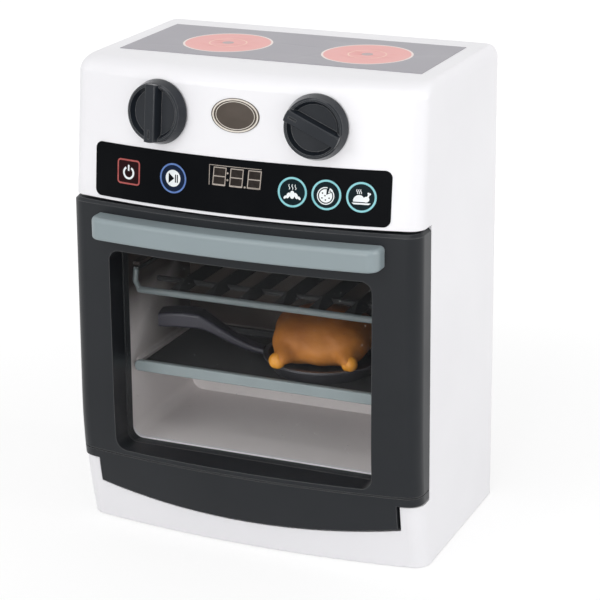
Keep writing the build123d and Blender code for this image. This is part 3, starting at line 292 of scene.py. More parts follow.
# Hob film. A thin printed vinyl sheet glued into the recess of the top: grey, with two printed glowing
# rings. It lies a little creased, so it is laid here as film cut round two printed discs.
FILM_LOW, FILM_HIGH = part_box("hob_sheet")
FILM_TOP = FILM_HIGH.z
FILM_UNDER = FILM_LOW.z
FILM_CELL = 1.2 * MM
BURNER_X = (-36.2 * MM, 41.8 * MM)
BURNER_Y = 16.8 * MM
BURNER_RADIUS = 23.6 * MM
BURNER_RIM = 1.1 * MM
COIL_RADIUS = 9.4 * MM
COIL_LINE = 0.7 * MM
HEART_RADIUS = 3.0 * MM
BURNER_STEPS = 96
CREASE_DEPTH = 0.2 * MM
LUMPS_PER_METRE = 45
LUMP_SHARE = 0.25
SAG_SHARE = 0.62
CREASES = (
    ((-12, 25), (14, 22), 1.1, 1.0),
    ((-80, -2), (-52, 2), 1.6, 0.5),
    ((-70, 20), (-30, -8), 2.6, 0.5),
    ((-6, 4), (62, -6), 2.2, 0.55),
    ((40, 12), (82, 30), 2.8, 0.45),
    ((-30, 50), (30, 38), 2.4, 0.4),
    ((8, -10), (24, 16), 2.0, 0.5),
)


def film_sag(x, y):
    """How far the film lies under its highest level at a point, all in metres."""
    sag = LUMP_SHARE * (1 + noise(Vector((x, y, 0)) * LUMPS_PER_METRE))
    for (x0, y0), (x1, y1), width, share in CREASES:
        start = Vector((x0, y0)) * MM
        along = Vector((x1, y1)) * MM - start
        here = Vector((x, y)) - start
        t = min(1, max(0, here.dot(along) / along.length_squared))
        away = (here - along * t).length / (width * MM)
        sag += share * math.exp(-away * away) * math.sin(math.pi * t) ** 0.5
    return CREASE_DEPTH * min(1, max(0, sag * SAG_SHARE))


def crease(bm):
    """Drops the upper and lower faces of a piece of film by the sag at each point."""
    for vert in bm.verts:
        vert.co.z -= film_sag(vert.co.x, vert.co.y)


def ring_slab(x, y, inner, outer, low, high, rings):
    """A flat closed ring about a point, or a disc where inner is 0, in bands of the given count."""
    bm = bmesh.new()
    loops = []
    for band in range(rings + 1):
        radius = inner + (outer - inner) * band / rings
        if radius == 0:
            loops.append([bm.verts.new((x, y, high))])
            continue
        turn = math.tau / BURNER_STEPS
        loops.append([
            bm.verts.new((x + radius * math.cos(turn * i), y + radius * math.sin(turn * i), high))
            for i in range(BURNER_STEPS)
        ])
    for near, far in zip(loops, loops[1:]):
        for i in range(BURNER_STEPS):
            j = (i + 1) % BURNER_STEPS
            corners = [near[0]] if len(near) == 1 else [near[j], near[i]]
            bm.faces.new(corners + [far[i], far[j]])
    thicken(bm, Vector((0, 0, low - high)))
    return bm


def thicken(bm, depth):
    """Makes an open sheet of faces a closed slab, by a copy of it moved by depth and walls between."""
    grown = bmesh.ops.extrude_face_region(bm, geom=list(bm.faces), use_keep_orig=True)
    for element in grown["geom"]:
        if isinstance(element, bmesh.types.BMVert):
            element.co += depth
    bmesh.ops.recalc_face_normals(bm, faces=list(bm.faces))


def made_piece(name, bm, material, body, smooth=False, replaced=()):
    """The finished piece: its mesh, its material, the body it rides on and the slot it is painted by."""
    mesh = bpy.data.meshes.new(name)
    bm.to_mesh(mesh)
    bm.free()
    mesh.materials.append(material)
    if smooth:
        mesh.shade_smooth()
    made = put_in_scene(name, mesh)
    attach(made, body)
    if replaced:
        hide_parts(*replaced)
    return made


def new_print_ink():
    """Printed ink on film: a worn, slightly uneven colour with the sheen of the film over it."""
    group, given, result = new_group(
        "print_ink",
        [("Ink", "Color", WHITE), ("Thin Ink", "Color", WHITE), ("Patch Size", "Float", 0.01),
         ("Dot Size", "Float", 0.0006)],
        [("Colour", "Color"), ("Roughness", "Float"), ("Normal", "Vector")],
    )
    place = add(group, "TexCoord").outputs["Object"]
    patch_scale = calculated(group, "DIVIDE", 1.0, given["Patch Size"])
    patch = add(group, "TexNoise", {"Vector": place, "Scale": patch_scale, "Detail": 4.0})
    dot_scale = calculated(group, "DIVIDE", 1.0, given["Dot Size"])
    dots = add(group, "TexNoise", {"Vector": place, "Scale": dot_scale, "Detail": 1.0})
    thin = calculated(group, "ADD", ramped(group, patch.outputs[0], 0.4, 0.75),
                      calculated(group, "MULTIPLY", dots.outputs[0], 0.15))
    group.links.new(mixed(group, thin, given["Ink"], given["Thin Ink"]), result["Colour"])
    group.links.new(calculated(group, "ADD", 0.24, calculated(group, "MULTIPLY", patch.outputs[0], 0.22)),
                    result["Roughness"])
    orange_peel = add(group, "Bump", {"Height": dots.outputs[0], "Distance": 4e-6})
    group.links.new(orange_peel.outputs[0], result["Normal"])
    return group


def ink_material(name, ink, thin_ink, specular=0.5, patch_size=0.01):
    material, tree, shader = blank_material(name, specular)
    surface = add(tree, "Group", node_tree=print_ink)
    for label, value in (("Ink", ink), ("Thin Ink", thin_ink), ("Patch Size", patch_size)):
        surface.inputs[label].default_value = value
    for label, socket in (("Colour", "Base Color"), ("Roughness", "Roughness"), ("Normal", "Normal")):
        tree.links.new(surface.outputs[label], shader[socket])
    return material


def glowing_print(name, x):
    """The salmon ink of one hob ring, brushed darker round its coil, as if its heat came through."""
    material, tree, shader = blank_material(name, 0.4)
    place = add(tree, "TexCoord").outputs["Object"]
    moved = add(tree, "VectorMath", {0: place, 1: (x, BURNER_Y, FILM_TOP)}, operation="SUBTRACT").outputs[0]
    radius = add(tree, "VectorMath", {0: moved}, operation="LENGTH").outputs["Value"]
    stretched = add(tree, "Mapping", {"Vector": moved, "Rotation": (0, 0, 0.5), "Scale": (1, 5, 1)})
    brush = add(tree, "TexNoise", {"Vector": stretched.outputs[0], "Scale": 60.0, "Detail": 3.0})
    near_heart = ramped(tree, radius, 0.7 * BURNER_RADIUS, 0.1 * BURNER_RADIUS)
    stroke = calculated(tree, "MULTIPLY", ramped(tree, brush.outputs[0], 0.5, 0.72), near_heart)
    paper = add(tree, "TexNoise", {"Vector": place, "Scale": 90.0, "Detail": 5.0})
    salmon = mixed(tree, paper.outputs[0], (0.80, 0.36, 0.34, 1), (0.86, 0.47, 0.445, 1))
    tree.links.new(mixed(tree, stroke, salmon, (0.66, 0.17, 0.15, 1)), shader["Base Color"])
    tree.links.new(ramped(tree, paper.outputs[0], -0.6, 1.8), shader["Roughness"])
    return material


def lay_film():
    """The grey film with its two round cut-outs, cut from a fine grid so that it can crease."""
    bm = bmesh.new()
    columns = round((FILM_HIGH.x - FILM_LOW.x) / FILM_CELL)
    rows = round((FILM_HIGH.y - FILM_LOW.y) / FILM_CELL)
    grid = [[bm.verts.new((FILM_LOW.x + (FILM_HIGH.x - FILM_LOW.x) * i / columns,
                           FILM_LOW.y + (FILM_HIGH.y - FILM_LOW.y) * j / rows, FILM_TOP))
             for i in range(columns + 1)] for j in range(rows + 1)]
    for low_row, high_row in zip(grid, grid[1:]):
        for i in range(columns):
            bm.faces.new((low_row[i], low_row[i + 1], high_row[i + 1], high_row[i]))
    thicken(bm, Vector((0, 0, FILM_UNDER - FILM_TOP)))
    sheet = bpy.data.meshes.new("uncut_film")
    bm.to_mesh(sheet)
    film = put_in_scene("uncut_film", sheet)
    cutters = []
    for x in BURNER_X:
        punch = bpy.data.meshes.new("punch")
        ring_slab(x, BURNER_Y, 0, BURNER_RADIUS, FILM_UNDER - MM, FILM_TOP + MM, 1).to_mesh(punch)
        cutters.append(put_in_scene("punch", punch))
        cut = film.modifiers.new("cut_out", "BOOLEAN")
        cut.operation = "DIFFERENCE"
        cut.solver = "EXACT"
        cut.object = cutters[-1]
    cut_film = bpy.data.meshes.new_from_object(film.evaluated_get(bpy.context.evaluated_depsgraph_get()))
    bm.clear()
    bm.from_mesh(cut_film)
    for spent in [film] + cutters:
        bpy.data.objects.remove(spent)
    return bm


print_ink = new_print_ink()
film_grey = ink_material("hob_film_grey", (0.285, 0.274, 0.308, 1), (0.312, 0.300, 0.335, 1), patch_size=0.04)
ring_cream = ink_material("hob_ring_cream", (0.83, 0.70, 0.655, 1), (0.88, 0.77, 0.73, 1))
coil_peach = ink_material("hob_coil_peach", (0.90, 0.58, 0.46, 1), (0.86, 0.5, 0.42, 1))
heart_grey = ink_material("hob_heart_grey", (0.42, 0.31, 0.32, 1), (0.47, 0.36, 0.36, 1))

film_mesh = lay_film()
crease(film_mesh)
made_piece("hob_film", film_mesh, film_grey, "housing", replaced=("hob_sheet",))
for side, x in zip(("left", "right"), BURNER_X):
    glow = glowing_print(f"hob_{side}_salmon", x)
    bands = (
        ("heart", 0, HEART_RADIUS, heart_grey, 3),
        ("inner_glow", HEART_RADIUS, COIL_RADIUS, glow, 5),
        ("coil", COIL_RADIUS, COIL_RADIUS + COIL_LINE, coil_peach, 1),
        ("outer_glow", COIL_RADIUS + COIL_LINE, BURNER_RADIUS - BURNER_RIM, glow, 10),
        ("rim", BURNER_RADIUS - BURNER_RIM, BURNER_RADIUS, ring_cream, 2),
    )
    for label, inner, outer, material, rings in bands:
        band = ring_slab(x, BURNER_Y, inner, outer, FILM_UNDER, FILM_TOP, rings)
        crease(band)
        made_piece(f"hob_{side}_{label}", band, material, "housing")


# Control panel. A glossy black plate glued into a recess of the fascia and printed from the front with a
# red power key, a blue start key, a three-figure clock and three teal programme keys; none of them travels.
INK_RISE = 0.06 * MM
INK_SINK = 0.06 * MM
FILL_RISE = 0.03 * MM
TOP_INK_RISE = 0.1 * MM
LONGEST_INK_EDGE = 4 * MM
OUTER_MARK = Vector((0, -1, 0))
WELL_IN_FRONT = -0.2
CURVE_STEPS = 40
KEY_RADIUS = 7.0
KEY_LINE = 1.0
POWER_CENTRE = (-60.2, 199.95)
START_CENTRE = (-33.7, 200.1)
PROGRAMME_CENTRES = ((31.3, 199.8), (48.6, 199.8), (66.0, 199.8))
CLOCK_LEFT, CLOCK_RIGHT = -13.2, 15.0
CLOCK_LOW, CLOCK_HIGH = 199.3, 209.4
CLOCK_FIGURES = (0.07, 0.40, 0.74)
CLOCK_FIGURE_WIDTH = 0.235
CLOCK_LEAN = 0.6

panel_faces = BVHTree.FromPolygons(
    [v.co for v in node["control_panel"].data.vertices],
    [p.vertices for p in node["control_panel"].data.polygons],
)


def arc(centre, radius, start, end, squeeze=1.0, tilt=0.0):
    """Points on an arc, angles in degrees from +X towards +Z; squeeze is the height over the width."""
    steps = max(3, round(CURVE_STEPS * abs(end - start) / 360))
    points = []
    for i in range(steps + 1):
        angle = math.radians(start + (end - start) * i / steps)
        u = radius * math.cos(angle)
        v = radius * squeeze * math.sin(angle)
        lean = math.radians(tilt)
        points.append((centre[0] + u * math.cos(lean) - v * math.sin(lean),
                       centre[1] + u * math.sin(lean) + v * math.cos(lean)))
    return points


def ribbon(points, width, closed=False):
    """Four-cornered patches that follow a line at a steady width."""
    line = [Vector(p) for p in points]
    if closed and (line[0] - line[-1]).length < 1e-6:
        line.pop()
    last = len(line) - 1
    edges = []
    for i, point in enumerate(line):
        before = line[i - 1] if i or closed else point
        after = line[(i + 1) % len(line)] if i < last or closed else point
        turn_in = (point - before).normalized() if before != point else (after - point).normalized()
        turn_out = (after - point).normalized() if after != point else turn_in
        along = (turn_in + turn_out).normalized()
        across = Vector((-along.y, along.x))
        reach = width / 2 / max(0.4, across.dot(Vector((-turn_in.y, turn_in.x))))
        edges.append((point + across * reach, point - across * reach))
    spans = zip(edges, edges[1:] + (edges[:1] if closed else []))
    return [(a, c, d, b) for (a, b), (c, d) in spans]


def print_on(name, patches, material, carrier_faces, rise=INK_RISE):
    """Ink laid on a front surface: each patch is a thin closed slab that follows the surface."""
    bm = bmesh.new()
    for patch in patches:
        bm.faces.new([bm.verts.new((p[0] * MM, 0, p[1] * MM)) for p in patch])
    bmesh.ops.remove_doubles(bm, verts=list(bm.verts), dist=0.01 * MM)
    bmesh.ops.triangulate(bm, faces=[f for f in bm.faces if len(f.verts) > 4])
    while long_edges := [e for e in bm.edges if e.calc_length() > LONGEST_INK_EDGE]:
        bmesh.ops.subdivide_edges(bm, edges=long_edges, cuts=1, use_grid_fill=True)
    thicken(bm, OUTER_MARK)
    for vert in bm.verts:
        is_outer = vert.co.y < OUTER_MARK.y / 2
        hit = carrier_faces.ray_cast(Vector((vert.co.x, WELL_IN_FRONT, vert.co.z)), Vector((0, 1, 0)))[0]
        vert.co.y = hit.y - rise if is_outer else hit.y + INK_SINK
    bmesh.ops.recalc_face_normals(bm, faces=list(bm.faces))
    return made_piece(name, bm, material, "housing")


def print_on_panel(name, patches, material, rise=INK_RISE):
    return print_on(name, patches, material, panel_faces, rise)


def rounded_square(centre, half_wide, half_high, corner):
    x, z = centre
    points = []
    for cx, cz, start in ((1, 1, 0), (-1, 1, 90), (-1, -1, 180), (1, -1, 270)):
        middle = (x + cx * (half_wide - corner), z + cz * (half_high - corner))
        points += arc(middle, corner, start, start + 90)
    return points


panel_black = ink_material("panel_black", (0.0035, 0.004, 0.005, 1), (0.006, 0.0065, 0.0075, 1), 0.02, 0.05)
key_white = ink_material("key_white", (0.83, 0.86, 0.87, 1), (0.72, 0.76, 0.78, 1))
key_red = ink_material("key_red", (0.33, 0.045, 0.042, 1), (0.42, 0.09, 0.08, 1), patch_size=0.004)
key_red_glow = ink_material("key_red_glow", (0.022, 0.005, 0.006, 1), (0.012, 0.004, 0.005, 1), 0.05)
key_blue = ink_material("key_blue", (0.075, 0.155, 0.42, 1), (0.13, 0.25, 0.55, 1), patch_size=0.004)
key_navy = ink_material("key_navy", (0.008, 0.016, 0.042, 1), (0.006, 0.012, 0.03, 1), 0.05)
key_teal = ink_material("key_teal", (0.17, 0.49, 0.54, 1), (0.26, 0.60, 0.64, 1), patch_size=0.004)
key_deep = ink_material("key_deep_teal", (0.005, 0.014, 0.018, 1), (0.004, 0.010, 0.013, 1), 0.05)
clock_line = ink_material("clock_line", (0.43, 0.375, 0.33, 1), (0.33, 0.285, 0.25, 1), patch_size=0.003)
clock_dim = ink_material("clock_dim", (0.022, 0.018, 0.016, 1), (0.034, 0.028, 0.025, 1), 0.05, 0.002)
give(panel_black, "control_panel")


def print_power_key():
    frame_line = rounded_square(POWER_CENTRE, 6.45, 6.0, 1.5)
    print_on_panel("power_key_fill", [frame_line], key_red_glow, FILL_RISE)
    print_on_panel("power_key_frame", ribbon(frame_line, 0.8, closed=True), key_red)
    x, z = POWER_CENTRE
    sign = ribbon(arc((x, z - 0.4), 2.9, 122, 418), 1.05)
    sign += ribbon([(x, z + 0.5), (x, z + 3.6)], 0.95)
    print_on_panel("power_key_sign", sign, key_white)


def print_start_key():
    x, z = START_CENTRE
    print_on_panel("start_key_fill", [arc(START_CENTRE, KEY_RADIUS, 0, 360)[:-1]], key_navy, FILL_RISE)
    print_on_panel("start_key_ring", ribbon(arc(START_CENTRE, 7.15, 0, 360), 0.85, closed=True), key_blue)
    print_on_panel("start_key_disc", [arc(START_CENTRE, 4.25, 0, 360)[:-1]], key_white)
    signs = [[(x - 2.5, z - 2.6), (x + 0.7, z), (x - 2.5, z + 2.6)]]
    for left in (1.15, 2.25):
        signs.append([(x + left, z - 2.0), (x + left + 0.6, z - 2.0),
                      (x + left + 0.6, z + 2.0), (x + left, z + 2.0)])
    print_on_panel("start_key_sign", signs, panel_black, TOP_INK_RISE)


def print_clock():
    width, height = CLOCK_RIGHT - CLOCK_LEFT, CLOCK_HIGH - CLOCK_LOW
    figure = width * CLOCK_FIGURE_WIDTH
    low, top = CLOCK_LOW + 0.4, CLOCK_HIGH - 1.0
    middle = (low + top) / 2
    cells, lines = [], []
    for start in CLOCK_FIGURES:
        left = CLOCK_LEFT + width * start
        corners = [(left, low), (left + figure, low),
                   (left + figure + CLOCK_LEAN, top), (left + CLOCK_LEAN, top)]
        cells.append(corners)
        lines += ribbon(corners, 0.45, closed=True)
        lines += ribbon([(left + CLOCK_LEAN / 2, middle), (left + figure + CLOCK_LEAN / 2, middle)], 0.5)
        lines += ribbon([(left + 0.2, low + 0.05), (left + figure - 0.2, low + 0.05)], 0.75)
    dots = [arc((CLOCK_LEFT + width * 0.355, CLOCK_LOW + height * part), 0.5, 0, 360)[:-1]
            for part in (0.32, 0.66)]
    dots.append(arc((CLOCK_LEFT + width * 0.69, CLOCK_LOW + 0.55), 0.5, 0, 360)[:-1])
    lines += ribbon([(CLOCK_LEFT, CLOCK_LOW), (CLOCK_LEFT, CLOCK_HIGH), (CLOCK_RIGHT, CLOCK_HIGH)], 0.3)
    print_on_panel("clock_cells", cells, clock_dim, FILL_RISE)
    print_on_panel("clock_lines", lines, clock_line)
    print_on_panel("clock_dots", dots, clock_line)


def steam(x, z, height, gap):
    """Three wavering lines of steam above a dish."""
    lines = []
    for k in (-1, 0, 1):
        wave = [(x + k * gap + 0.28 * math.sin(math.tau * t / 8), z + height * t / 8) for t in range(9)]
        lines += ribbon(wave, 0.34)
    return lines


def croissant(x, z):
    lobes = [arc((x, z - 1.3), 1.25, 0, 360, 1.6)[:-1]]
    for side in (-1, 1):
        lobes.append(arc((x + side * 2.05, z - 1.75), 0.85, 0, 360, 1.85, side * 24)[:-1])
        lobes.append(arc((x + side * 3.6, z - 2.7), 0.6, 0, 360, 1.7, side * 42)[:-1])
    return lobes + steam(x, z + 1.3, 2.5, 1.6)


def pizza(x, z):
    pie = [(x, z)] + arc((x - 0.3, z - 0.5), 3.3, 82, 392)
    crust = ribbon(arc((x - 0.3, z - 0.5), 4.1, 78, 396), 0.5)
    slice_tip = (x + 0.9, z + 0.9)
    wedge = [slice_tip] + arc(slice_tip, 2.7, 26, 72)
    return [pie] + crust + [wedge]


def pizza_toppings(x, z):
    places = ((-1.9, 0.8), (-2.1, -1.6), (-0.3, -2.5), (1.5, -1.5), (-0.6, -0.4), (1.9, 2.0))
    return [arc((x + u, z + v), 0.36, 0, 360)[:-1] for u, v in places]


def roast_on_plate(x, z):
    bird = [(x - 4.0, z - 2.3)] + arc((x - 1.0, z - 2.2), 3.1, 172, 60, 1.05) + [
        (x + 1.2, z - 0.2), (x + 1.4, z - 2.3)]
    thigh = arc((x + 2.4, z - 1.0), 1.55, 0, 360, 0.9, 25)[:-1]
    shank = ribbon([(x + 2.9, z - 0.4), (x + 3.7, z + 1.5)], 0.8)
    knuckles = [arc((x + 3.4 + u, z + 1.9 + v), 0.5, 0, 360)[:-1] for u, v in ((0, 0.1), (0.75, -0.15))]
    plate = [[(x - 4.7, z - 2.8), (x - 3.7, z - 3.6), (x + 3.7, z - 3.6), (x + 4.7, z - 2.8)]]
    return [bird, thigh] + shank + knuckles + plate + steam(x - 1.2, z + 1.6, 2.2, 0.95)


def print_programme_keys():
    dishes = (("croissant", croissant), ("pizza", pizza), ("roast", roast_on_plate))
    for centre, (label, dish) in zip(PROGRAMME_CENTRES, dishes):
        ring = ribbon(arc(centre, KEY_RADIUS, 0, 360), KEY_LINE, closed=True)
        print_on_panel(f"{label}_key_fill", [arc(centre, KEY_RADIUS - 0.1, 0, 360)[:-1]], key_deep, FILL_RISE)
        print_on_panel(f"{label}_key_ring", ring, key_teal)
        print_on_panel(f"{label}_key_sign", dish(*centre), key_white)
    print_on_panel("pizza_key_toppings", pizza_toppings(*PROGRAMME_CENTRES[1]), panel_black, TOP_INK_RISE)


print_power_key()
print_start_key()
print_clock()
print_programme_keys()


# Badge. A small oval plate of brown printed plastic in the middle of the fascia, with two cream lines
# round its edge; its middle is left plain.
BADGE_LOW, BADGE_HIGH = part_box("badge_oval")
BADGE_HALF = (BADGE_HIGH.x - BADGE_LOW.x) / 2 / MM
BADGE_CENTRE = (0.0, (BADGE_HIGH.z + BADGE_LOW.z) / 2 / MM)
BADGE_SQUEEZE = (BADGE_HIGH.z - BADGE_LOW.z) / (BADGE_HIGH.x - BADGE_LOW.x)
badge_brown = ink_material("badge_brown", (0.046, 0.032, 0.022, 1), (0.062, 0.045, 0.033, 1))
badge_cream = ink_material("badge_cream", (0.74, 0.69, 0.62, 1), (0.66, 0.61, 0.54, 1))
give(badge_brown, "badge_oval")
badge_faces = BVHTree.FromPolygons(
    [v.co for v in node["badge_oval"].data.vertices],
    [p.vertices for p in node["badge_oval"].data.polygons],
)
for label, share, width in (("outer", 0.925, 0.75), ("inner", 0.80, 0.3)):
    oval = arc(BADGE_CENTRE, BADGE_HALF * share, 0, 360, BADGE_SQUEEZE)
    print_on(f"badge_{label}_line", ribbon(oval, width, closed=True), badge_cream, badge_faces)


# Knobs. Two turning knobs moulded in dark blue-grey ABS and polished: a flared skirt, a dished face and a
# grip bar across it. Each clicks on a nylon wheel inside, held by one screw.
# Their edges take a share of white as a painted highlight.
knob_plastic = skinned_plastic(
    "dark_knob_plastic", (0.0125, 0.0155, 0.0205, 1), (0.016, 0.019, 0.0245, 1), 0.13, 0.3,
    painted_edge_highlight=0.12, cloud_size=0.02, grain_size=0.001, grain_depth=1e-6, ripple_depth=4e-6,
    edge_radius=0.00045,
)
nylon = skinned_plastic(
    "natural_nylon", (0.72, 0.70, 0.63, 1), (0.66, 0.63, 0.56, 1), 0.42, 0.4, grain_depth=4e-6,
)
give(knob_plastic, "left_knob", "right_knob")
give(nylon, "left_click_wheel", "right_click_wheel", "click_springs", "door_catch")


# Door. One charcoal moulding with the apron under it, bowed across its front, with a recessed window; a
# second frame screws on behind it and traps the clear pane. It hangs on two steel pins at its foot.
# Its edges take a share of white as a painted highlight.
door_plastic = skinned_plastic(
    "charcoal_door_plastic", (0.0148, 0.0166, 0.0195, 1), (0.0182, 0.0202, 0.0235, 1), SATIN, 0.21,
    painted_edge_highlight=0.1, cloud_size=0.06, grain_size=0.0012, grain_depth=3e-6, ripple_depth=5e-6,
    edge_radius=0.0006,
)
give(door_plastic, "door_frame", "door_inner_frame")


def new_pane():
    """Thin clear styrene: mostly see-through, with a faint haze of wiped dust."""
    material, tree, shader = blank_material("clear_pane", 0.5)
    place = add(tree, "TexCoord").outputs["Object"]
    haze = add(tree, "TexNoise", {"Vector": place, "Scale": 22.0, "Detail": 6.0, "Roughness": 0.7})
    dust = add(tree, "TexNoise", {"Vector": place, "Scale": 900.0, "Detail": 1.0})
    specks = ramped(tree, dust.outputs[0], 0.76, 0.82)
    tint = mixed(tree, haze.outputs[0], (0.42, 0.46, 0.49, 1), (0.62, 0.64, 0.66, 1))
    tree.links.new(mixed(tree, specks, tint, (0.9, 0.9, 0.9, 1)), shader["Base Color"])
    tree.links.new(ramped(tree, haze.outputs[0], 0.2, 3.5), shader["Roughness"])
    cover = calculated(tree, "MULTIPLY", haze.outputs[0], 0.02)
    tree.links.new(calculated(tree, "MAXIMUM", cover, calculated(tree, "MULTIPLY", specks, 0.4)),
                   shader["Alpha"])
    return material


give(new_pane(), "window_pane")


# Door handle. A flat grab bar across the top of the door, moulded in grey-green ABS with a satin skin and
# bowed with the door, held by two screws from inside.
# Its edges take a large share of white as a painted highlight.
handle_plastic = skinned_plastic(
    "grey_green_plastic", (0.250, 0.300, 0.317, 1), (0.238, 0.287, 0.303, 1), SATIN, 0.5,
    painted_edge_highlight=0.4, cloud_size=0.045, grain_size=0.0015, grain_depth=1e-6, ripple_depth=3e-6,
    edge_radius=0.0006,
)
give(handle_plastic, "door_handle")


# Rack and shelf. The upper rack is a moulded grid with a rounded front bar and ridged slats, the lower
# shelf a plate with an upturned lip; both are grey-green ABS, with a dark painted shade behind their front
# edges.
RACK_FRONT = -26.7 * MM
SHELF_FRONT = -27.8 * MM
PAINTED_SHADE_FADE = 0.6 * MM


def plastic_with_painted_shade(name, front_y, colour, painted_shade):
    """Grey-green plastic in front of front_y, fading to a dark painted shade just behind it."""
    material, tree, shader = blank_material(name, 0.3)
    surface = add(tree, "Group", {
        "Gloss Loss": SATIN, "Cloud Size": 0.03, "Grain Size": 0.001, "Grain Depth": 2e-6,
        "Ripple Depth": 5e-6, "Edge Radius": 0.0005,
    }, node_tree=moulded_skin)
    surface.inputs["Colour"].default_value = colour
    surface.inputs["Marked Colour"].default_value = [0.9 * part for part in colour[:3]] + [1]
    # A share of white at the edges is a painted highlight.
    painted_edge_highlight = calculated(tree, "MULTIPLY", surface.outputs["Edge"], 0.35)
    lit = mixed(tree, painted_edge_highlight, surface.outputs["Colour"], WHITE)
    place = add(tree, "SeparateXYZ", {0: add(tree, "TexCoord").outputs["Object"]}).outputs
    # Behind the front edge the colour turns to painted shade, for the dark of the oven space.
    behind = ramped(tree, place[1], front_y, front_y + PAINTED_SHADE_FADE)
    tree.links.new(mixed(tree, behind, lit, painted_shade), shader["Base Color"])
    dulled = calculated(tree, "ADD", surface.outputs["Roughness"], calculated(tree, "MULTIPLY", behind, 0.4))
    tree.links.new(dulled, shader["Roughness"])
    tree.links.new(surface.outputs["Normal"], shader["Normal"])
    return material


# The second colour of each is the painted shade behind the front edge.
give(
    plastic_with_painted_shade("rack_plastic", RACK_FRONT, (0.165, 0.195, 0.202, 1), (0.022, 0.022, 0.023, 1)),
    "upper_rack",
)
give(
    plastic_with_painted_shade("shelf_plastic", SHELF_FRONT, (0.29, 0.34, 0.352, 1), (0.042, 0.042, 0.044, 1)),
    "lower_shelf",
)


# Oven space. A white liner pressed in from the front of the case, with ribs for the shelves and a lamp in
# its ceiling; a dark brown painted shade lies over its top and over the shelf, fading out forwards and
# downwards.
LINER_WHITE = (0.84, 0.80, 0.795, 1)
LINER_SHADE = (0.80, 0.76, 0.755, 1)
LINER_PAINTED_SHADE = (0.040, 0.029, 0.025, 1)
TOP_SHADE_FROM, TOP_SHADE_FULL = 0.108, 0.136
SHELF_SHADE_FROM, SHELF_SHADE_FULL = 0.083, 0.090
BACK_SHADE_FROM, BACK_SHADE_FULL = -0.030, 0.030
SHADE_WAVE = 0.012


def new_liner_with_painted_shade():
    material, tree, shader = blank_material("liner_painted_shade", 0.3)
    surface = add(tree, "Group", {
        "Gloss Loss": 0.45, "Cloud Size": 0.05, "Grain Depth": 4e-6, "Ripple Depth": 3e-5,
    }, node_tree=moulded_skin)
    surface.inputs["Colour"].default_value = LINER_WHITE
    surface.inputs["Marked Colour"].default_value = LINER_SHADE
    place = add(tree, "TexCoord").outputs["Object"]
    parts = add(tree, "SeparateXYZ", {0: place}).outputs
    cloud = add(tree, "TexNoise", {"Vector": place, "Scale": 30.0, "Detail": 4.0})
    height = calculated(tree, "ADD", parts["Z"], calculated(tree, "MULTIPLY", cloud.outputs[0], SHADE_WAVE))
    at_top = ramped(tree, height, TOP_SHADE_FROM, TOP_SHADE_FULL)
    over_shelf = ramped(tree, parts["Z"], SHELF_SHADE_FROM, SHELF_SHADE_FULL)
    at_back = ramped(tree, parts["Y"], BACK_SHADE_FROM, BACK_SHADE_FULL)
    # The liner darkens at the top and over the shelf towards the back: painted shade for the dark inside the
    # oven space.
    painted_shade = calculated(tree, "MAXIMUM", at_top, calculated(tree, "MULTIPLY", over_shelf, at_back))
    with_painted_shade = mixed(tree, painted_shade, surface.outputs["Colour"], LINER_PAINTED_SHADE)
    tree.links.new(with_painted_shade, shader["Base Color"])
    tree.links.new(surface.outputs["Roughness"], shader["Roughness"])
    tree.links.new(surface.outputs["Normal"], shader["Normal"])
    return material


give(new_liner_with_painted_shade(), "cavity_liner")


# Frying pan. A round dark toy pan whose handle climbs from the rim to a raised straight grip, both moulded
# in ABS and pressed together at a tang.
# The pan and its grip take a share of white at their edges as a painted highlight.
pan_plastic = skinned_plastic(
    "pan_plastic", (0.045, 0.044, 0.052, 1), (0.036, 0.035, 0.041, 1), SATIN, 0.5,
    painted_edge_highlight=0.1, cloud_size=0.02, grain_size=0.001, grain_depth=2e-6, ripple_depth=2e-5,
    edge_radius=0.0004,
)
grip_plastic = skinned_plastic(
    "pan_grip_plastic", (0.026, 0.024, 0.037, 1), (0.021, 0.019, 0.030, 1), 0.38, 0.4,
    painted_edge_highlight=0.1, cloud_size=0.012, grain_size=0.001, grain_depth=4e-6, ripple_depth=2e-5,
    edge_radius=0.0006,
)
give(pan_plastic, "frying_pan")
give(grip_plastic, "pan_handle")


# Roast. A hollow blow-moulded toy chicken on its back in the pan, airbrushed brown over orange, with a
# round yellow knuckle at the end of each leg.
ROAST_LOW, ROAST_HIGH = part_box("roast_chicken")
PAN_LOW, PAN_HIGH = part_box("frying_pan")
ROAST_CENTRE = (PAN_LOW + PAN_HIGH) / 2 - Vector((0, 1.2 * MM, 0))
ROAST_TURN = Matrix.Rotation(math.radians(15), 3, "Z")
KNUCKLE_RADIUS = 4.4
KNUCKLES = ((-21.4, -24.6), (16.6, -24.6))
KNUCKLE_HEIGHT = 97.3
LOBE_RESOLUTION = 1.3
LOBE_RADIUS = 2
PUCKER_DEPTH = 0.8 * MM
BROWNED_FROM, BROWNED_FULL = 0.104, 0.124
BROWNED_WAVE = 0.014


def lobe(family, place, sizes, lean=0.0, splay=0.0):
    """One soft lump of the roast, in millimetres from the middle of its foot."""
    made = family.elements.new(type="ELLIPSOID")
    made.co = place
    made.radius = LOBE_RADIUS
    made.size_x, made.size_y, made.size_z = sizes
    made.rotation = Quaternion((0, 0, 1), splay) @ Quaternion((1, 0, 0), lean)


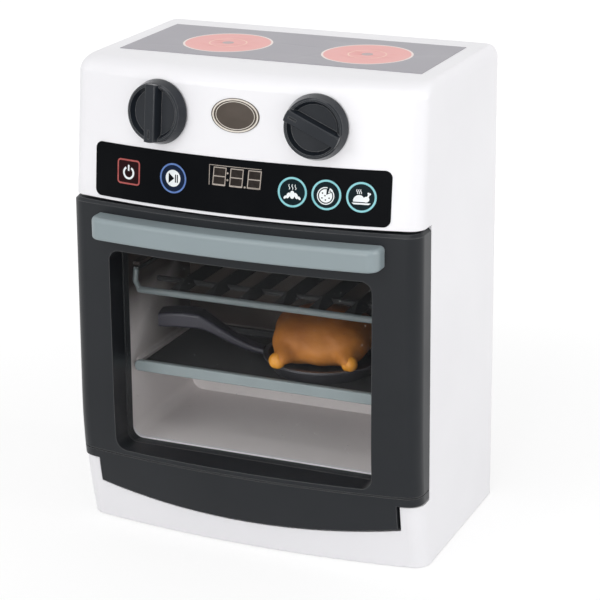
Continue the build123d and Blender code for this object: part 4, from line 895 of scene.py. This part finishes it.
def roast_body():
    """The body, breasts, thighs, shanks and wings as lumps that flow into each other."""
    family = bpy.data.metaballs.new("roast_lumps")
    family.resolution = LOBE_RESOLUTION
    family.render_resolution = LOBE_RESOLUTION
    family.threshold = 0.5
    lobe(family, (0, 7, 14.5), (21, 18, 13.5))
    for side in (-1, 1):
        lobe(family, (side * 7, 6, 20), (11, 16, 9), 0.1, side * 0.12)
        lobe(family, (side * 14.5 - 1, -4, 15), (9.5, 12, 9), 0.15, side * 0.2)
        lobe(family, (side * 17.5 - 2, -14, 11.5), (4.4, 10, 4.6), 0.1, side * 0.08)
        lobe(family, (side * 20, 9, 16), (6, 12, 9), 0.0, -side * 0.25)
    lobe(family, (0, -11, 12), (8, 7, 6))
    lumps = put_in_scene("roast_lumps", family)
    bpy.context.view_layer.update()
    mesh = bpy.data.meshes.new_from_object(lumps.evaluated_get(bpy.context.evaluated_depsgraph_get()))
    bpy.data.objects.remove(lumps)
    bm = bmesh.new()
    bm.from_mesh(mesh)
    return bm


def fit_roast(bm):
    """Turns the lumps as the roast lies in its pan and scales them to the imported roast's room."""
    for vert in bm.verts:
        vert.co = ROAST_TURN @ vert.co
    low = Vector([min(v.co[i] for v in bm.verts) for i in range(3)])
    high = Vector([max(v.co[i] for v in bm.verts) for i in range(3)])
    for vert in bm.verts:
        for i in range(3):
            share = (vert.co[i] - low[i]) / (high[i] - low[i])
            vert.co[i] = ROAST_LOW[i] + (ROAST_HIGH[i] - ROAST_LOW[i]) * share


def pucker(bm):
    """Small dimples and folds of the skin."""
    bm.normal_update()
    for vert in bm.verts:
        fold = noise(vert.co * 90) * 0.5 + noise(vert.co * 260) * 0.2
        vert.co += vert.normal * (min(0, fold) * PUCKER_DEPTH)


def new_roast_skin():
    material, tree, shader = blank_material("roast_skin", 0.22)
    place = add(tree, "TexCoord").outputs["Object"]
    height = add(tree, "SeparateXYZ", {0: place}).outputs["Z"]
    patches = add(tree, "TexNoise", {"Vector": place, "Scale": 70.0, "Detail": 5.0, "Roughness": 0.6})
    pores = add(tree, "TexNoise", {"Vector": place, "Scale": 700.0, "Detail": 3.0})
    wave = calculated(tree, "MULTIPLY", patches.outputs[0], BROWNED_WAVE)
    brownness = ramped(tree, calculated(tree, "ADD", height, wave), BROWNED_FROM, BROWNED_FULL)
    golden = mixed(tree, patches.outputs[0], (0.66, 0.27, 0.05, 1), (0.50, 0.17, 0.028, 1))
    browned = mixed(tree, brownness, golden, (0.22, 0.07, 0.014, 1))
    tree.links.new(browned, shader["Base Color"])
    tree.links.new(ramped(tree, patches.outputs[0], -0.6, 1.7), shader["Roughness"])
    bump = add(tree, "Bump", {"Height": pores.outputs[0], "Distance": 1.2e-4})
    tree.links.new(bump.outputs[0], shader["Normal"])
    return material


def new_knuckle_paint():
    material, tree, shader = blank_material("knuckle_yellow", 0.5)
    place = add(tree, "TexCoord").outputs["Object"]
    patches = add(tree, "TexNoise", {"Vector": place, "Scale": 160.0, "Detail": 4.0})
    paint = mixed(tree, patches.outputs[0], (0.83, 0.38, 0.035, 1), (0.68, 0.24, 0.02, 1))
    tree.links.new(paint, shader["Base Color"])
    tree.links.new(ramped(tree, patches.outputs[0], -0.6, 1.9), shader["Roughness"])
    return material


def knuckle(x, y):
    """A slightly notched ball at the end of a leg, at a point of the turned roast."""
    middle = ROAST_TURN @ Vector((x, y, 0)) * MM
    middle += Vector((ROAST_CENTRE.x, ROAST_CENTRE.y, KNUCKLE_HEIGHT * MM))
    bm = bmesh.new()
    bmesh.ops.create_icosphere(bm, subdivisions=4, radius=KNUCKLE_RADIUS * MM)
    for vert in bm.verts:
        notch = math.exp(-((vert.co.x / (1.2 * MM)) ** 2)) * max(0, -vert.co.y / (KNUCKLE_RADIUS * MM))
        vert.co -= vert.co * (0.12 * notch + 0.03 * noise(vert.co * 500))
        vert.co += middle
    return bm


roast_mesh = roast_body()
fit_roast(roast_mesh)
pucker(roast_mesh)
made_piece(
    "roast_chicken_skin", roast_mesh, new_roast_skin(), "shelf", smooth=True,
    replaced=("roast_chicken",),
)
knuckle_yellow = new_knuckle_paint()
for side, place in zip(("left", "right"), KNUCKLES):
    made_piece(f"roast_knuckle_{side}", knuckle(*place), knuckle_yellow, "shelf", smooth=True)


# Screws and pins. Zinc-plated steel self-tappers with crossed heads all round, and the two ground steel
# pins that the door turns on.
def new_steel(name, colour, gloss_loss):
    material, tree, shader = blank_material(name)
    shader["Metallic"].default_value = 1.0
    place = add(tree, "TexCoord").outputs["Object"]
    plating = add(tree, "TexNoise", {"Vector": place, "Scale": 900.0, "Detail": 4.0})
    dark = (colour[0] * 0.7, colour[1] * 0.7, colour[2] * 0.72, 1)
    tree.links.new(mixed(tree, plating.outputs[0], colour, dark), shader["Base Color"])
    tree.links.new(ramped(tree, plating.outputs[0], -gloss_loss * 3, 3.2), shader["Roughness"])
    tree.links.new(add(tree, "Bump", {"Height": plating.outputs[0], "Distance": 5e-6}).outputs[0],
                   shader["Normal"])
    return material


screw_steel = new_steel("zinc_plated_steel", (0.62, 0.62, 0.60, 1), 0.3)
give(screw_steel, *[name for name in node if name.endswith("_screw") or name.endswith("_screws")],
     "hinge_pins", "battery_contacts")


# Feet. Four soft rubber discs pressed into pockets of the base plate, so that the oven doesn't slide when
# a child pulls its door.
foot_rubber = skinned_plastic(
    "foot_rubber", (0.03, 0.03, 0.032, 1), (0.045, 0.045, 0.046, 1), 0.7, 0.3, grain_depth=2e-5,
)
give(foot_rubber, "rubber_feet")


# Works. The lamp and its frosted lens, the circuit board with its parts, the knob switches, the speaker
# behind its slots, and the cells in their box, joined by red leads.
give(skinned_plastic("frosted_lens", (0.80, 0.78, 0.72, 1), (0.74, 0.72, 0.66, 1), 0.5), "lamp_lens",
     "cavity_lamp")
give(skinned_plastic("board_green", (0.012, 0.095, 0.035, 1), (0.018, 0.13, 0.05, 1), 0.35), "circuit_board")
give(skinned_plastic("part_black", (0.012, 0.012, 0.013, 1), (0.022, 0.022, 0.024, 1), 0.45, 0.4),
     "board_parts", "knob_switches", "speaker")
give(skinned_plastic("battery_box_white", (0.60, 0.60, 0.58, 1), (0.54, 0.54, 0.52, 1), 0.4), "battery_box")
give(skinned_plastic("cell_wrap", (0.02, 0.05, 0.16, 1), (0.03, 0.07, 0.2, 1), 0.25), "battery_cells")
give(skinned_plastic("red_lead", (0.45, 0.02, 0.015, 1), (0.36, 0.016, 0.012, 1), 0.4), "leads")
